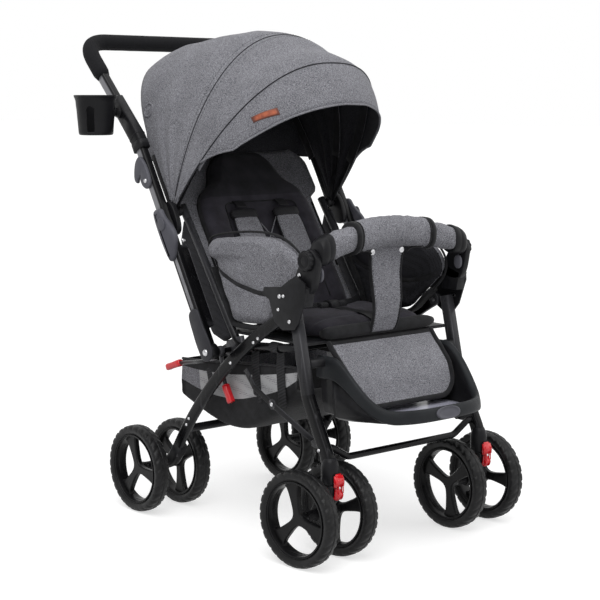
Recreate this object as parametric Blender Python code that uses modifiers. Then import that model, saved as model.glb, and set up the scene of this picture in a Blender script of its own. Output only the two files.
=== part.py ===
"""Reversible stroller: every piece is its own named object.

Metres, +Z up. The front of the stroller faces -Y and the child's left is +X.
Side views are written as (y, z) pairs; "right" is the -X side.
"""
import math

import bmesh
import bpy
from mathutils import Matrix, Vector

# Clearances
CLEAR = 0.0003
PIN_CLEARANCE = 0.0004

# Wheels
WHEEL_DIAMETER = 0.180
TYRE_WIDTH = 0.032
TYRE_DEPTH = 0.0185
BARREL_WALL = 0.0055
BARREL_WIDTH = 0.025
SPOKE_COUNT = 3
SPOKE_THICKNESS = 0.012
SPOKE_WIDTH = 0.020
HUB_DIAMETER = 0.030
HUB_WIDTH = 0.034
WHEEL_SIDES = 24
PAIR_SPACING = 0.105
AXLE_DIAMETER = 0.008
SPACER_DIAMETER = 0.020

# Stance
WHEELBASE = 0.505
REAR_AXLE_Y = 0.213
TRACK = 0.398
CASTER_TRAIL = 0.028
RIGHT_CASTER_TURN = 5.3

# Casters
FORK_TOP_Z = 0.150
FORK_THICKNESS = 0.024
SWIVEL_PIN_DIAMETER = 0.010
SWIVEL_PIN_LENGTH = 0.020
SOCKET_DIAMETER = 0.033
SOCKET_HEIGHT = 0.050
LOCK_WIDTH = 0.018
LOCK_HEIGHT = 0.044
LOCK_THICKNESS = 0.008

# Front legs, in the two side planes
LEG_WIDTH = 0.020
LEG_DEPTH = 0.024
LEG_TOP_Y = -0.226
LEG_TOP_Z = 0.455
LEG_KNEE_Z = 0.300
LEG_RAKE = 13.0
LEG_FOOT_SET = 0.006
LEG_SINK = 0.020
LUG_THICKNESS = 0.004

# Hub brackets, knobs and bumper bar
PLATE_THICKNESS = 0.004
KNOB_Y = -0.263
KNOB_Z = 0.555
KNOB_DIAMETER = 0.039
ARM_THICKNESS = 0.0135
KNOB_DEPTH = 0.010
KNOB_GRIPS = 12
COLLAR_LENGTH = 0.031
COLLAR_HEIGHT = 0.056
COLLAR_DEPTH = 0.046
BAR_RISE = 0.031
BAR_HEIGHT = 0.050
BAR_SLEEVE_HEIGHT = 0.061
BAR_SLEEVE_LENGTH = 0.190
STRAP_TOP_WIDTH = 0.090
STRAP_FOOT_WIDTH = 0.064
STRAP_THICKNESS = 0.006
STRAP_GAP = 0.0012

# Rear legs
REAR_LEG_WIDTH = 0.012
REAR_LEG_DEPTH = 0.024
REAR_LEG_OFFSET = 0.005
FOLD_PIVOT_Y = -0.192
FOLD_PIVOT_Z = 0.444
CROSS_TUBE_DIAMETER = 0.017
CROSS_TUBE_SETBACK = 0.035
CROSS_TUBE_BELOW = 0.0022
CROSS_TUBE_DROP = 0.024
CROSS_TUBE_BEND = 0.030
CROSS_TUBE_FLAT = 0.008
CROSS_TUBE_SLOPE = 0.040
CROSS_TUBE_SHARE = 0.38
FOLD_PIN_DIAMETER = 0.008

# Seat frame: posts, rails and front cross in one bent tube
RAIL_DIAMETER = 0.016
RAIL_GAP = 0.003
RAIL_REAR_Y = -0.040
RAIL_REAR_Z = 0.372
RAIL_FRONT_Y = -0.203
RAIL_FRONT_Z = 0.385

# Handle
HANDLE_PIVOT_Y = -0.020
HANDLE_PIVOT_Z = 0.361
ARM_SPACE = 0.021
HANDLE_RAKE = 30.1
HANDLE_STRAIGHT = 0.469
HANDLE_TOP_RAKE = 44.5
HANDLE_TOP_LENGTH = 0.281
HANDLE_CORNER = 0.055
HANDLE_TUBE_WIDTH = 0.018
HANDLE_TUBE_DEPTH = 0.024
GRIP_DIAMETER = 0.034
GRIP_ARM_LENGTH = 0.105
PIVOT_PIN_DIAMETER = 0.010
PIVOT_BOSS_DIAMETER = 0.034
LATCH_THICKNESS = 0.013
LATCH_BOTTOM = 0.200
LATCH_LENGTH = 0.106
HOOK_THICKNESS = 0.008
CUP_DIAMETER = 0.088
CUP_FOOT_DIAMETER = 0.070
CUP_HEIGHT = 0.080
CUP_WALL = 0.0028
CUP_SIDES = 20
CUP_RIM_Z = 0.855
CUP_BOSS_DIAMETER = 0.018
CUP_BOSS_REACH = 0.0415

# Canopy
POST_RAKE = 34.778
POST_END = 0.012
CANOPY_Z = 0.624
CANOPY_SIDE_GAP = 0.020
CANOPY_CLOTH = 0.0025
BOW_THICKNESS = 0.0026
BOW_WIDTH = 0.009
BOW_STEP = 0.0036
BOW_GAP = 0.0014
BOW_INSET_ANGLE = 3.4
BOW_EYE_DIAMETER = 0.020
REAR_BOW_ANGLE = 121.7
MID_BOW_ANGLE = 74.3
FRONT_BOW_ANGLE = 50.4
VISOR_ANGLE = 35.98
REAR_BOW_REACH = 0.365
MID_BOW_REACH = 0.365
FRONT_BOW_REACH = 0.380
VISOR_REACH = 0.3634
VISOR_FLARE = -0.0124
VISOR_POWER = 2.25
VISOR_SWELL = 0.2
VISOR_START = 0.130
CURTAIN_HEM = 0.1175
CURTAIN_SETBACK = 0.100
CURTAIN_TAPER = 0.035
CANOPY_COLUMNS = 18

# Seat
SEAT_SIDE_GAP = 0.0117
SEAT_FRONT_Y = -0.240
SEAT_REAR_Y = 0.005
BOARD_THICKNESS = 0.006
BOARD_MARGIN = 0.004
BOARD_POST_GAP = 0.002
CUSHION_THICKNESS = 0.030
BACK_RAKE = 32.4
BACK_LENGTH = 0.372
BACK_SIDE_GAP = 0.006
BACK_THICKNESS = 0.030
BACK_FOOT_SETBACK = 0.0025
BACK_FOOT_HEIGHT = 0.017
PAD_WIDTH = 0.066
PAD_LENGTH = 0.120
PAD_THICKNESS = 0.012
PAD_OFFSET = 0.056
PAD_PLACE = 0.445
WING_THICKNESS = 0.020
FLAP_HALF_WIDTH = 0.136
FLAP_THICKNESS = 0.008

# Footrest
TRAY_SIDE_GAP = 0.032
TRAY_REAR_Y = -0.236
TRAY_FRONT_Y = -0.424
TRAY_WALL = 0.005
TRAY_PIVOT_Z = 0.362
TRAY_FLOOR_Z = 0.262
TRAY_LIP_Z = 0.285
TRAY_WALL_Z = 0.374
TRAY_RISE_FRONT_Y = -0.405
TRAY_RISE_REAR_Y = -0.270
TRAY_POWER = 3.2
TRAY_BOSS_DIAMETER = 0.018

# Basket
BASKET_SIDE_GAP = 0.003
BASKET_CLOTH = 0.003

# Levers and brace
BRACE_THICKNESS = 0.003
BRACE_DEPTH = 0.012
BRACE_FOOT_Z = 0.2162
BRACE_REACH = 0.03554
LEVER_ROD_DIAMETER = 0.008
LEVER_TIP_DIAMETER = 0.015
LEVER_PIN_DIAMETER = 0.008
RELEASE_LEVER_WIDTH = 0.008
RELEASE_EYE = (0.018, 0.352)

# Places that follow from the sizes above
WHEEL_RADIUS = WHEEL_DIAMETER / 2
FRONT_AXLE_Y = REAR_AXLE_Y - WHEELBASE
SWIVEL_Y = FRONT_AXLE_Y - CASTER_TRAIL
LEG_X = TRACK / 2 + 0.001
LEG_OUTER = LEG_X + LEG_WIDTH / 2
LEG_INNER = LEG_X - LEG_WIDTH / 2
PLATE_X0 = LEG_OUTER + CLEAR
ARM_FACE = LEG_INNER + ARM_THICKNESS
PLATE_X1 = PLATE_X0 + PLATE_THICKNESS
REAR_LEG_X = TRACK / 2 + REAR_LEG_OFFSET
REAR_LEG_INNER = REAR_LEG_X - REAR_LEG_WIDTH / 2
REAR_LEG_OUTER = REAR_LEG_X + REAR_LEG_WIDTH / 2
RAIL_X = REAR_LEG_INNER - RAIL_GAP - RAIL_DIAMETER / 2
HANDLE_INNER = REAR_LEG_OUTER + ARM_SPACE
HANDLE_HALF_WIDTH = HANDLE_INNER + HANDLE_TUBE_WIDTH / 2
HANDLE_OUTER = HANDLE_INNER + HANDLE_TUBE_WIDTH
CANOPY_Y = RAIL_REAR_Y + (CANOPY_Z - RAIL_REAR_Z) * math.tan(math.radians(POST_RAKE))
CANOPY_HALF_WIDTH = RAIL_X + RAIL_DIAMETER / 2 + CANOPY_SIDE_GAP
VISOR_HALF_WIDTH = CANOPY_HALF_WIDTH + VISOR_FLARE
SEAT_HALF_WIDTH = LEG_INNER - CLEAR - WING_THICKNESS - SEAT_SIDE_GAP
BACK_HALF_WIDTH = SEAT_HALF_WIDTH - BACK_SIDE_GAP
TRAY_HALF_WIDTH = LEG_INNER - TRAY_SIDE_GAP
BASKET_HALF_WIDTH = RAIL_X - RAIL_DIAMETER / 2 - BASKET_SIDE_GAP
BOARD_Z = RAIL_FRONT_Z + RAIL_DIAMETER / 2 + CLEAR
CUSHION_Z = BOARD_Z + BOARD_THICKNESS + CLEAR
X_AXIS = Vector((1, 0, 0))
SIDES = (("right", -1), ("left", 1))


def start():
    """Clear the file and make the two collections."""
    for item in list(bpy.data.objects):
        bpy.data.objects.remove(item, do_unlink=True)
    groups = {}
    for name in ("reversible_stroller", "cutters"):
        groups[name] = bpy.data.collections.new(name)
        bpy.context.scene.collection.children.link(groups[name])
    groups["cutters"].hide_render = True
    return groups


GROUPS = start()


def material(name, colour, metallic=0.0, roughness=0.5):
    made = bpy.data.materials.new(name)
    made.use_nodes = True
    shader = made.node_tree.nodes["Principled BSDF"]
    shader.inputs["Base Color"].default_value = (*colour, 1)
    shader.inputs["Metallic"].default_value = metallic
    shader.inputs["Roughness"].default_value = roughness
    made.diffuse_color = (*colour, 1)
    return made


MATERIALS = {
    "black_paint": material("black_paint", (0.012, 0.012, 0.014), 0.3, 0.3),
    "grey_tube": material("grey_tube", (0.17, 0.17, 0.18), 0.6, 0.35),
    "black_plastic": material("black_plastic", (0.02, 0.02, 0.022), 0.0, 0.45),
    "grey_plastic": material("grey_plastic", (0.09, 0.09, 0.10), 0.0, 0.45),
    "red_plastic": material("red_plastic", (0.60, 0.01, 0.02), 0.0, 0.3),
    "rubber": material("rubber", (0.015, 0.015, 0.016), 0.0, 0.8),
    "foam": material("foam", (0.014, 0.014, 0.015), 0.0, 0.9),
    "grey_cloth": material("grey_cloth", (0.19, 0.19, 0.205), 0.0, 0.95),
    "dark_cloth": material("dark_cloth", (0.022, 0.022, 0.027), 0.0, 0.95),
}


# Mesh helpers

def mesh_from(rings, closed_loop=False, caps=True):
    """Skin a list of equal rings; a closed loop joins the last ring to the first."""
    bm = bmesh.new()
    rows = [[bm.verts.new(point) for point in ring] for ring in rings]
    pairs = list(zip(rows, rows[1:]))
    if closed_loop:
        pairs.append((rows[-1], rows[0]))
    for low, high in pairs:
        count = len(low)
        for i in range(count):
            j = (i + 1) % count
            bm.faces.new((low[i], low[j], high[j], high[i]))
    if caps and not closed_loop:
        bm.faces.new(list(reversed(rows[0])))
        bm.faces.new(rows[-1])
    bmesh.ops.recalc_face_normals(bm, faces=bm.faces)
    mesh = bpy.data.meshes.new("shape")
    bm.to_mesh(mesh)
    bm.free()
    return mesh


def put(name, mesh, look=None, origin=(0, 0, 0), smooth=True, cutter=False):
    """Make an object whose origin lies at the given point, for example on a joint's axis."""
    origin = Vector(origin)
    mesh.transform(Matrix.Translation(-origin))
    item = bpy.data.objects.new(name, mesh)
    item.location = origin
    if look:
        mesh.materials.clear()
        mesh.materials.append(MATERIALS[look])
    if smooth:
        mesh.shade_smooth()
    GROUPS["cutters" if cutter else "reversible_stroller"].objects.link(item)
    if cutter:
        item.hide_render = True
        item.display_type = "WIRE"
    return item


def boolean(item, other_mesh, operation):
    """Join or cut with a helper mesh given in world coordinates."""
    helper = put(item.name + "_" + operation.lower(), other_mesh, smooth=False, cutter=True)
    step = item.modifiers.new(operation.lower(), "BOOLEAN")
    step.operation = operation
    step.solver = "EXACT"
    step.object = helper
    return helper


def join(item, *meshes):
    for mesh in meshes:
        boolean(item, mesh, "UNION")


def cut(item, *meshes):
    for mesh in meshes:
        boolean(item, mesh, "DIFFERENCE")


def soften(item, width, segments=1, angle=40):
    step = item.modifiers.new("soft_edges", "BEVEL")
    step.width = width
    step.segments = segments
    step.limit_method = "ANGLE"
    step.angle_limit = math.radians(angle)


def extrude_x(outline, x0, x1):
    """Closed slab from a (y, z) outline between two x planes."""
    return mesh_from([[Vector((x, y, z)) for y, z in outline] for x in (x0, x1)])


def lathe_x(profile, centre=(0, 0, 0), sides=16, ring=False):
    """Turn an (x, radius) profile about the X axis; a ring's profile closes on itself."""
    centre = Vector(centre)
    step = 2 * math.pi / sides
    if ring:
        rings = []
        for k in range(sides):
            a = (k + 0.5) * step
            rings.append([centre + Vector((x, r * math.sin(a), -r * math.cos(a))) for x, r in profile])
        return mesh_from(rings, closed_loop=True)
    rings = []
    for x, r in profile:
        angles = [(k + 0.5) * step for k in range(sides)]
        rings.append([centre + Vector((x, r * math.sin(a), -r * math.cos(a))) for a in angles])
    return mesh_from(rings)


def rod_x(x0, x1, y, z, diameter, sides=12):
    return lathe_x([(x0, diameter / 2), (x1, diameter / 2)], (0, y, z), sides)


def lathe_z(profile, centre, sides=16):
    """Turn a (radius, z) profile about the vertical through centre."""
    cx, cy = centre
    rings = []
    for r, z in profile:
        angles = [(k + 0.5) * 2 * math.pi / sides for k in range(sides)]
        rings.append([Vector((cx + r * math.cos(a), cy + r * math.sin(a), z)) for a in angles])
    return mesh_from(rings)


def oval(sides, power):
    """Unit superellipse: power 2 is round, 4 is a soft rectangle."""
    points = []
    for k in range(sides):
        a = (k + 0.5) * 2 * math.pi / sides
        c, s = math.cos(a), math.sin(a)
        points.append((math.copysign(abs(c) ** (2 / power), c), math.copysign(abs(s) ** (2 / power), s)))
    return points


def frames(path, side):
    """Side and normal vectors along a path, turned as little as possible."""
    found = []
    side = Vector(side)
    for i, point in enumerate(path):
        before = path[max(i - 1, 0)]
        after = path[min(i + 1, len(path) - 1)]
        tangent = (point - before).normalized() + (after - point).normalized()
        tangent.normalize()
        side = (side - tangent * side.dot(tangent)).normalized()
        found.append((point, side.copy(), tangent.cross(side)))
    return found


def sweep_rings(path, half_side, half_normal, sides, power, side):
    rings = []
    for point, across, up in frames(path, side):
        ring = [point + across * half_side * a + up * half_normal * b for a, b in oval(sides, power)]
        rings.append(ring)
    return rings


def sweep(path, half_side, half_normal, sides=12, power=2.0, side=X_AXIS):
    path = [Vector(p) for p in path]
    return mesh_from(sweep_rings(path, half_side, half_normal, sides, power, side))


def sleeve(path, outer, inner, sides=12, powers=(2.0, 4.0), side=X_AXIS):
    """Hollow sweep: outer and inner are (half side, half normal)."""
    path = [Vector(p) for p in path]
    out = sweep_rings(path, *outer, sides, powers[0], side)
    bore = sweep_rings(path, *inner, sides, powers[1], side)
    bm = bmesh.new()
    outs = [[bm.verts.new(p) for p in ring] for ring in out]
    ins = [[bm.verts.new(p) for p in ring] for ring in bore]
    for rows in (outs, ins):
        for low, high in zip(rows, rows[1:]):
            for i in range(sides):
                j = (i + 1) % sides
                bm.faces.new((low[i], low[j], high[j], high[i]))
    for end in (0, -1):
        for i in range(sides):
            j = (i + 1) % sides
            bm.faces.new((outs[end][i], outs[end][j], ins[end][j], ins[end][i]))
    bmesh.ops.recalc_face_normals(bm, faces=bm.faces)
    mesh = bpy.data.meshes.new("sleeve")
    bm.to_mesh(mesh)
    bm.free()
    return mesh


END_SHARE = 0.95
INNER_SHARE = 0.49


def rounded(points, radius, steps=4):
    """Replace each inner corner of a polyline by a curve of about the given radius."""
    points = [Vector(p) for p in points]
    path = [points[0]]
    last = len(points) - 3
    for i, (before, corner, after) in enumerate(zip(points, points[1:], points[2:])):
        into = (before - corner)
        out = (after - corner)
        turn = into.angle(out)
        reach = radius / math.tan(turn / 2)
        before_share = END_SHARE if i == 0 else INNER_SHARE
        after_share = END_SHARE if i == last else INNER_SHARE
        reach = min(reach, into.length * before_share, out.length * after_share)
        a = corner + into.normalized() * reach
        b = corner + out.normalized() * reach
        for k in range(steps + 1):
            t = k / steps
            path.append(a * (1 - t) ** 2 + corner * 2 * t * (1 - t) + b * t ** 2)
    path.append(points[-1])
    return path


def bend(start, pull, end, steps):
    """Points along one smooth curve pulled toward a third point."""
    start, pull, end = Vector(start), Vector(pull), Vector(end)
    ts = [k / steps for k in range(steps + 1)]
    return [start * (1 - t) ** 2 + pull * 2 * t * (1 - t) + end * t ** 2 for t in ts]


def pillow(centre, across, along, out, half_across, half_along, depth, crown, power=3.0, sides=24):
    """Stuffed pad: drawn-in edge, fuller middle and a crowned front."""
    centre, across, along, out = Vector(centre), Vector(across), Vector(along), Vector(out)
    layers = [(0.94, 0.0), (1.0, 0.28), (1.0, 0.62), (0.95, 0.9), (0.80, 1.0 + crown * 0.45),
              (0.45, 1.0 + crown)]
    rings = []
    for scale, height in layers:
        ring = []
        for a, b in oval(sides, power):
            ring.append(centre + across * half_across * scale * a + along * half_along * scale * b
                        + out * depth * height)
        rings.append(ring)
    return mesh_from(rings)


def cloth(points, faces, thickness, name, look, origin=(0, 0, 0)):
    """Sheet with thickness: the open sheet is the outer side."""
    bm = bmesh.new()
    verts = [bm.verts.new(p) for p in points]
    for face in faces:
        bm.faces.new([verts[i] for i in face])
    bmesh.ops.recalc_face_normals(bm, faces=bm.faces)
    mesh = bpy.data.meshes.new(name)
    bm.to_mesh(mesh)
    bm.free()
    item = put(name, mesh, look, origin)
    step = item.modifiers.new("thickness", "SOLIDIFY")
    step.thickness = thickness
    step.offset = -1
    return item


def rake(degrees):
    """Unit vector leaning back from the vertical by an angle, in the side plane."""
    a = math.radians(degrees)
    return Vector((0, math.sin(a), math.cos(a)))


def square_to(direction):
    """Side-plane vector at right angles to a direction, facing up and forward."""
    return Vector((0, -direction.z, direction.y))


# Wheels

def tyre_shape():
    """Tyre body with a slightly crowned tread, one flat of it on the ground."""
    tread = WHEEL_RADIUS / math.cos(math.pi / WHEEL_SIDES)
    bead = WHEEL_RADIUS - TYRE_DEPTH
    half = TYRE_WIDTH / 2
    flank = tread - TYRE_DEPTH * 0.38
    foot = half * 0.80
    crown = half * 0.68
    profile = [(-foot, bead), (-half, flank), (-crown, tread), (crown, tread), (half, flank), (foot, bead)]
    return lathe_x(profile, sides=WHEEL_SIDES, ring=True)


def spoke_star(barrel_inner):
    """One flat outline of all spokes: narrow waists that flare into the barrel."""
    reach = barrel_inner + BARREL_WALL * 0.5
    root = HUB_DIAMETER / 2
    stations = [(0.40, 0.50), (1.0, 1.30)]
    outline = []
    for spoke in range(SPOKE_COUNT):
        turn = 2 * math.pi * spoke / SPOKE_COUNT

        def place(radius, offset):
            return (radius * math.sin(turn) + offset * math.cos(turn),
                    radius * math.cos(turn) - offset * math.sin(turn))

        def at(share, widen):
            radius = root + (reach - root) * share
            drift = SPOKE_WIDTH * 0.28 * math.sin(math.pi * share)
            half = SPOKE_WIDTH * widen
            along = math.sqrt(max(radius ** 2 - half ** 2, 0)) if share == 1.0 else radius
            return along, drift, half

        for share, widen in stations:
            along, drift, half = at(share, widen)
            outline.append(place(along, drift - half))
        outline.append(place(reach, 0))
        for share, widen in reversed(stations):
            along, drift, half = at(share, widen)
            outline.append(place(along, drift + half))
        valley = turn + math.pi / SPOKE_COUNT
        outline.append((root * 1.12 * math.sin(valley), root * 1.12 * math.cos(valley)))
    return outline


def rim_shape():
    """Barrel, spokes and hub as one moulding, bored from the inner side only."""
    outer = WHEEL_RADIUS - TYRE_DEPTH - CLEAR
    inner = outer - BARREL_WALL
    half = BARREL_WIDTH / 2
    profile = [(-half, inner), (half, inner), (half, outer), (-half, outer)]
    barrel = lathe_x(profile, sides=WHEEL_SIDES, ring=True)
    item = put("rim_model", barrel, smooth=False, cutter=True)
    star = extrude_x(spoke_star(inner), -SPOKE_THICKNESS / 2, SPOKE_THICKNESS / 2)
    hub = lathe_x([(-HUB_WIDTH / 2, HUB_DIAMETER * 0.42), (-HUB_WIDTH * 0.1, HUB_DIAMETER / 2),
                   (HUB_WIDTH * 0.3, HUB_DIAMETER / 2), (HUB_WIDTH / 2, HUB_DIAMETER * 0.36)], sides=10)
    join(item, star, hub)
    bore = rod_x(-HUB_WIDTH, HUB_WIDTH * 0.2, 0, 0, AXLE_DIAMETER + 4 * PIN_CLEARANCE, 8)
    cut(item, bore)
    bpy.context.view_layer.update()
    return bpy.data.meshes.new_from_object(item.evaluated_get(bpy.context.evaluated_depsgraph_get()))


def caster_turn(side):
    return math.radians(RIGHT_CASTER_TURN) if side < 0 else 0.0


def pair_centre(end, side):
    if end == "rear":
        return Vector((side * TRACK / 2, REAR_AXLE_Y, WHEEL_RADIUS))
    turn = Matrix.Rotation(caster_turn(side), 3, "Z")
    swivel = Vector((side * TRACK / 2, SWIVEL_Y, WHEEL_RADIUS))
    return swivel + turn @ Vector((0, CASTER_TRAIL, 0))


def wheels():
    tyre = tyre_shape()
    rim = rim_shape()
    for end in ("rear", "front"):
        for side_name, side in SIDES:
            turn = caster_turn(side) if end == "front" else 0.0
            for place, outward in (("outer", side), ("inner", -side)):
                across = Matrix.Rotation(turn, 3, "Z") @ Vector((outward * PAIR_SPACING / 2, 0, 0))
                centre = pair_centre(end, side) + across
                for kind, shape, look in (("tyre", tyre, "rubber"), ("rim", rim, "black_plastic")):
                    item = put(f"{kind}_{end}_{side_name}_{place}", shape.copy(), look)
                    item.location = centre
                    item.rotation_euler = (0, 0, turn + (0 if outward > 0 else math.pi))


# Front: legs, casters, cross tube

BRACE_LUG = ((-0.032, 0.012), (0.003, 0.007), (0.007, -0.001), (0.002, -0.007), (-0.034, -0.004))


def leg_path(side):
    foot_z = FORK_TOP_Z + SOCKET_HEIGHT
    points = [(LEG_TOP_Y, LEG_TOP_Z), (leg_y(LEG_KNEE_Z), LEG_KNEE_Z), (SWIVEL_Y + LEG_FOOT_SET, foot_z),
              (SWIVEL_Y, foot_z - LEG_SINK)]
    return [Vector((side * LEG_X, y, z)) for y, z in points]


def leg_y(z):
    """Middle of the front leg at a height above the knee."""
    return LEG_TOP_Y - (LEG_TOP_Z - z) * math.tan(math.radians(LEG_RAKE))


def shin_y(z):
    """Middle of the front leg at a height between its knee and its socket."""
    foot_z = FORK_TOP_Z + SOCKET_HEIGHT
    share = (LEG_KNEE_Z - z) / (LEG_KNEE_Z - foot_z)
    return leg_y(LEG_KNEE_Z) + (SWIVEL_Y + LEG_FOOT_SET - leg_y(LEG_KNEE_Z)) * share


def brace_foot():
    return (shin_y(BRACE_FOOT_Z) + BRACE_REACH, BRACE_FOOT_Z)


def front_leg(name, side):
    path = rounded(leg_path(side), 0.06, 3)
    mesh = sweep(path, LEG_WIDTH / 2, LEG_DEPTH / 2, 8, 4.0)
    item = put("front_leg_" + name, mesh, "black_paint", path[0])
    low = FORK_TOP_Z + CLEAR
    radius = SOCKET_DIAMETER / 2
    place = (side * TRACK / 2, SWIVEL_Y)
    socket = lathe_z([(radius * 0.92, low), (radius, low + 0.004), (radius, low + SOCKET_HEIGHT * 0.7),
                      (radius * 0.70, low + SOCKET_HEIGHT)], place, 16)
    join(item, socket)
    y, z = brace_foot()
    lug = [(y + dy, z + dz) for dy, dz in BRACE_LUG]
    join(item, extrude_x(lug, side * LEG_INNER, side * (LEG_INNER + LUG_THICKNESS)))
    bore = SWIVEL_PIN_DIAMETER / 2 + PIN_CLEARANCE
    cut(item, lathe_z([(bore, low - 0.01), (bore, low + SWIVEL_PIN_LENGTH + 0.001)], place, 12))


def turned(mesh, side):
    """Turn a caster mesh made straight ahead about its swivel axis."""
    pivot = Vector((side * TRACK / 2, SWIVEL_Y, 0))
    spin = Matrix.Rotation(caster_turn(side), 4, "Z")
    mesh.transform(Matrix.Translation(pivot) @ spin @ Matrix.Translation(-pivot))
    return mesh


def caster(name, side):
    x = side * TRACK / 2
    half = FORK_THICKNESS / 2
    axle = (SWIVEL_Y + CASTER_TRAIL, WHEEL_RADIUS)
    top = FORK_TOP_Z
    nose = SWIVEL_Y - SOCKET_DIAMETER / 2
    outline = [(nose, top), (SWIVEL_Y + 0.015, top), (SWIVEL_Y + 0.020, top - 0.020),
               (axle[0] + 0.013, axle[1] + 0.004), (axle[0] + 0.008, axle[1] - 0.013),
               (axle[0] - 0.008, axle[1] - 0.013), (SWIVEL_Y + 0.006, axle[1] + 0.012),
               (nose + 0.003, top - 0.030)]
    fork = put("caster_fork_" + name, turned(extrude_x(outline, x - half, x + half), side), "black_plastic",
               (x, SWIVEL_Y, top))
    inner_face = (PAIR_SPACING - HUB_WIDTH) / 2 - CLEAR
    axle_half = PAIR_SPACING / 2 + HUB_WIDTH * 0.15
    pin_radius = SWIVEL_PIN_DIAMETER / 2
    join(fork, turned(rod_x(x - inner_face, x + inner_face, *axle, SPACER_DIAMETER), side),
         turned(rod_x(x - axle_half, x + axle_half, *axle, AXLE_DIAMETER), side),
         lathe_z([(pin_radius, top - 0.01), (pin_radius, top + SWIVEL_PIN_LENGTH)], (x, SWIVEL_Y), 12))
    swivel_lock(name, side)


def swivel_lock(name, side):
    """Red flick lever on the front of the fork, hung from a small pin."""
    x = side * TRACK / 2
    back = SWIVEL_Y - SOCKET_DIAMETER / 2 - CLEAR
    top = FORK_TOP_Z + 0.020
    low = top - LOCK_HEIGHT
    face = back - LOCK_THICKNESS
    outline = [(back, top), (back, low + 0.010), (back + 0.002, low), (face + 0.001, low - 0.001),
               (face - 0.003, low + 0.008), (face, low + 0.016), (face - 0.001, top - 0.010),
               (face + 0.003, top)]
    mesh = turned(extrude_x(outline, x - LOCK_WIDTH / 2, x + LOCK_WIDTH / 2), side)
    item = put("swivel_lock_" + name, mesh, "red_plastic", (x, back - LOCK_THICKNESS / 2, top - 0.002))
    soften(item, 0.0012)


def front_cross_tube():
    end = LEG_INNER - CLEAR
    y = brace_foot()[0] - CROSS_TUBE_SETBACK
    high = BRACE_FOOT_Z - CROSS_TUBE_BELOW
    low = high - CROSS_TUBE_DROP
    knee = end - CROSS_TUBE_FLAT
    half = [(end, y, high), (knee, y, high), (knee - CROSS_TUBE_SLOPE, y, low)]
    points = half + [(-x, y, z) for x, y, z in reversed(half)]
    radius = CROSS_TUBE_DIAMETER * CROSS_TUBE_SHARE
    path = rounded(points, CROSS_TUBE_BEND, 2)
    put("front_cross_tube", sweep(path, radius, radius, 10, 2.0, (0, 1, 0)), "black_paint")


# Hub brackets, knobs, bumper bar

HUB_PLATE = ((-0.146, 0.484), (-0.150, 0.498), (-0.200, 0.503), (-0.220, 0.516), (-0.240, 0.526),
             (-0.266, 0.515), (-0.268, 0.490), (-0.250, 0.440), (-0.238, 0.426), (-0.204, 0.422),
             (-0.180, 0.436), (-0.165, 0.476))
HUB_ROOT = ((-0.222, 0.470), (-0.224, 0.520), (-0.270, 0.505), (-0.262, 0.470))
HUB_ARM = ((-0.224, 0.500), (-0.226, 0.522), (-0.245, 0.557), (-0.262, 0.576), (-0.282, 0.565),
           (-0.287, 0.545), (-0.270, 0.495))
HUB_PIN_REACH = 0.002


def hub_bracket(name, side):
    item = put("hub_bracket_" + name, extrude_x(HUB_PLATE, side * PLATE_X0, side * PLATE_X1), "black_plastic",
               (side * PLATE_X0, KNOB_Y, KNOB_Z))
    into_plate = side * (PLATE_X0 + HUB_PIN_REACH)
    join(item, extrude_x(HUB_ROOT, side * LEG_INNER, into_plate),
         extrude_x(HUB_ARM, side * LEG_INNER, side * ARM_FACE))
    pin_start = side * (REAR_LEG_INNER + 0.001)
    join(item, rod_x(pin_start, into_plate, FOLD_PIVOT_Y, FOLD_PIVOT_Z, FOLD_PIN_DIAMETER))


def hub_knob(name, side):
    rings = []
    steps = [(0.0, 0.93), (0.15, 1.0), (0.80, 1.0), (1.0, 0.86)]
    for depth, scale in steps:
        ring = []
        x = side * (ARM_FACE + CLEAR + KNOB_DEPTH * depth)
        for k in range(2 * KNOB_GRIPS):
            a = math.pi * k / KNOB_GRIPS
            r = KNOB_DIAMETER / 2 * scale * (1.0 if k % 2 else 0.93)
            ring.append(Vector((x, KNOB_Y + r * math.cos(a), KNOB_Z + r * math.sin(a))))
        rings.append(ring)
    put("hub_knob_" + name, mesh_from(rings), "black_plastic", (side * ARM_FACE, KNOB_Y, KNOB_Z))


COLLAR_X1 = LEG_INNER - CLEAR
COLLAR_X0 = COLLAR_X1 - COLLAR_LENGTH


def bar_centre(x):
    """Middle line of the bumper bar: a shallow upward arch between the collars."""
    share = (x / COLLAR_X1) ** 2
    return Vector((x, KNOB_Y + 0.001 - 0.010 * share, KNOB_Z + 0.012 + BAR_RISE * (1 - share)))


def bar_rings(stations, depth_share):
    rings = []
    for x, height in stations:
        middle = bar_centre(x)
        section = oval(14, 2.3)
        rings.append([middle + Vector((0, a * depth_share, b)) * height / 2 for a, b in section])
    return rings


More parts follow.
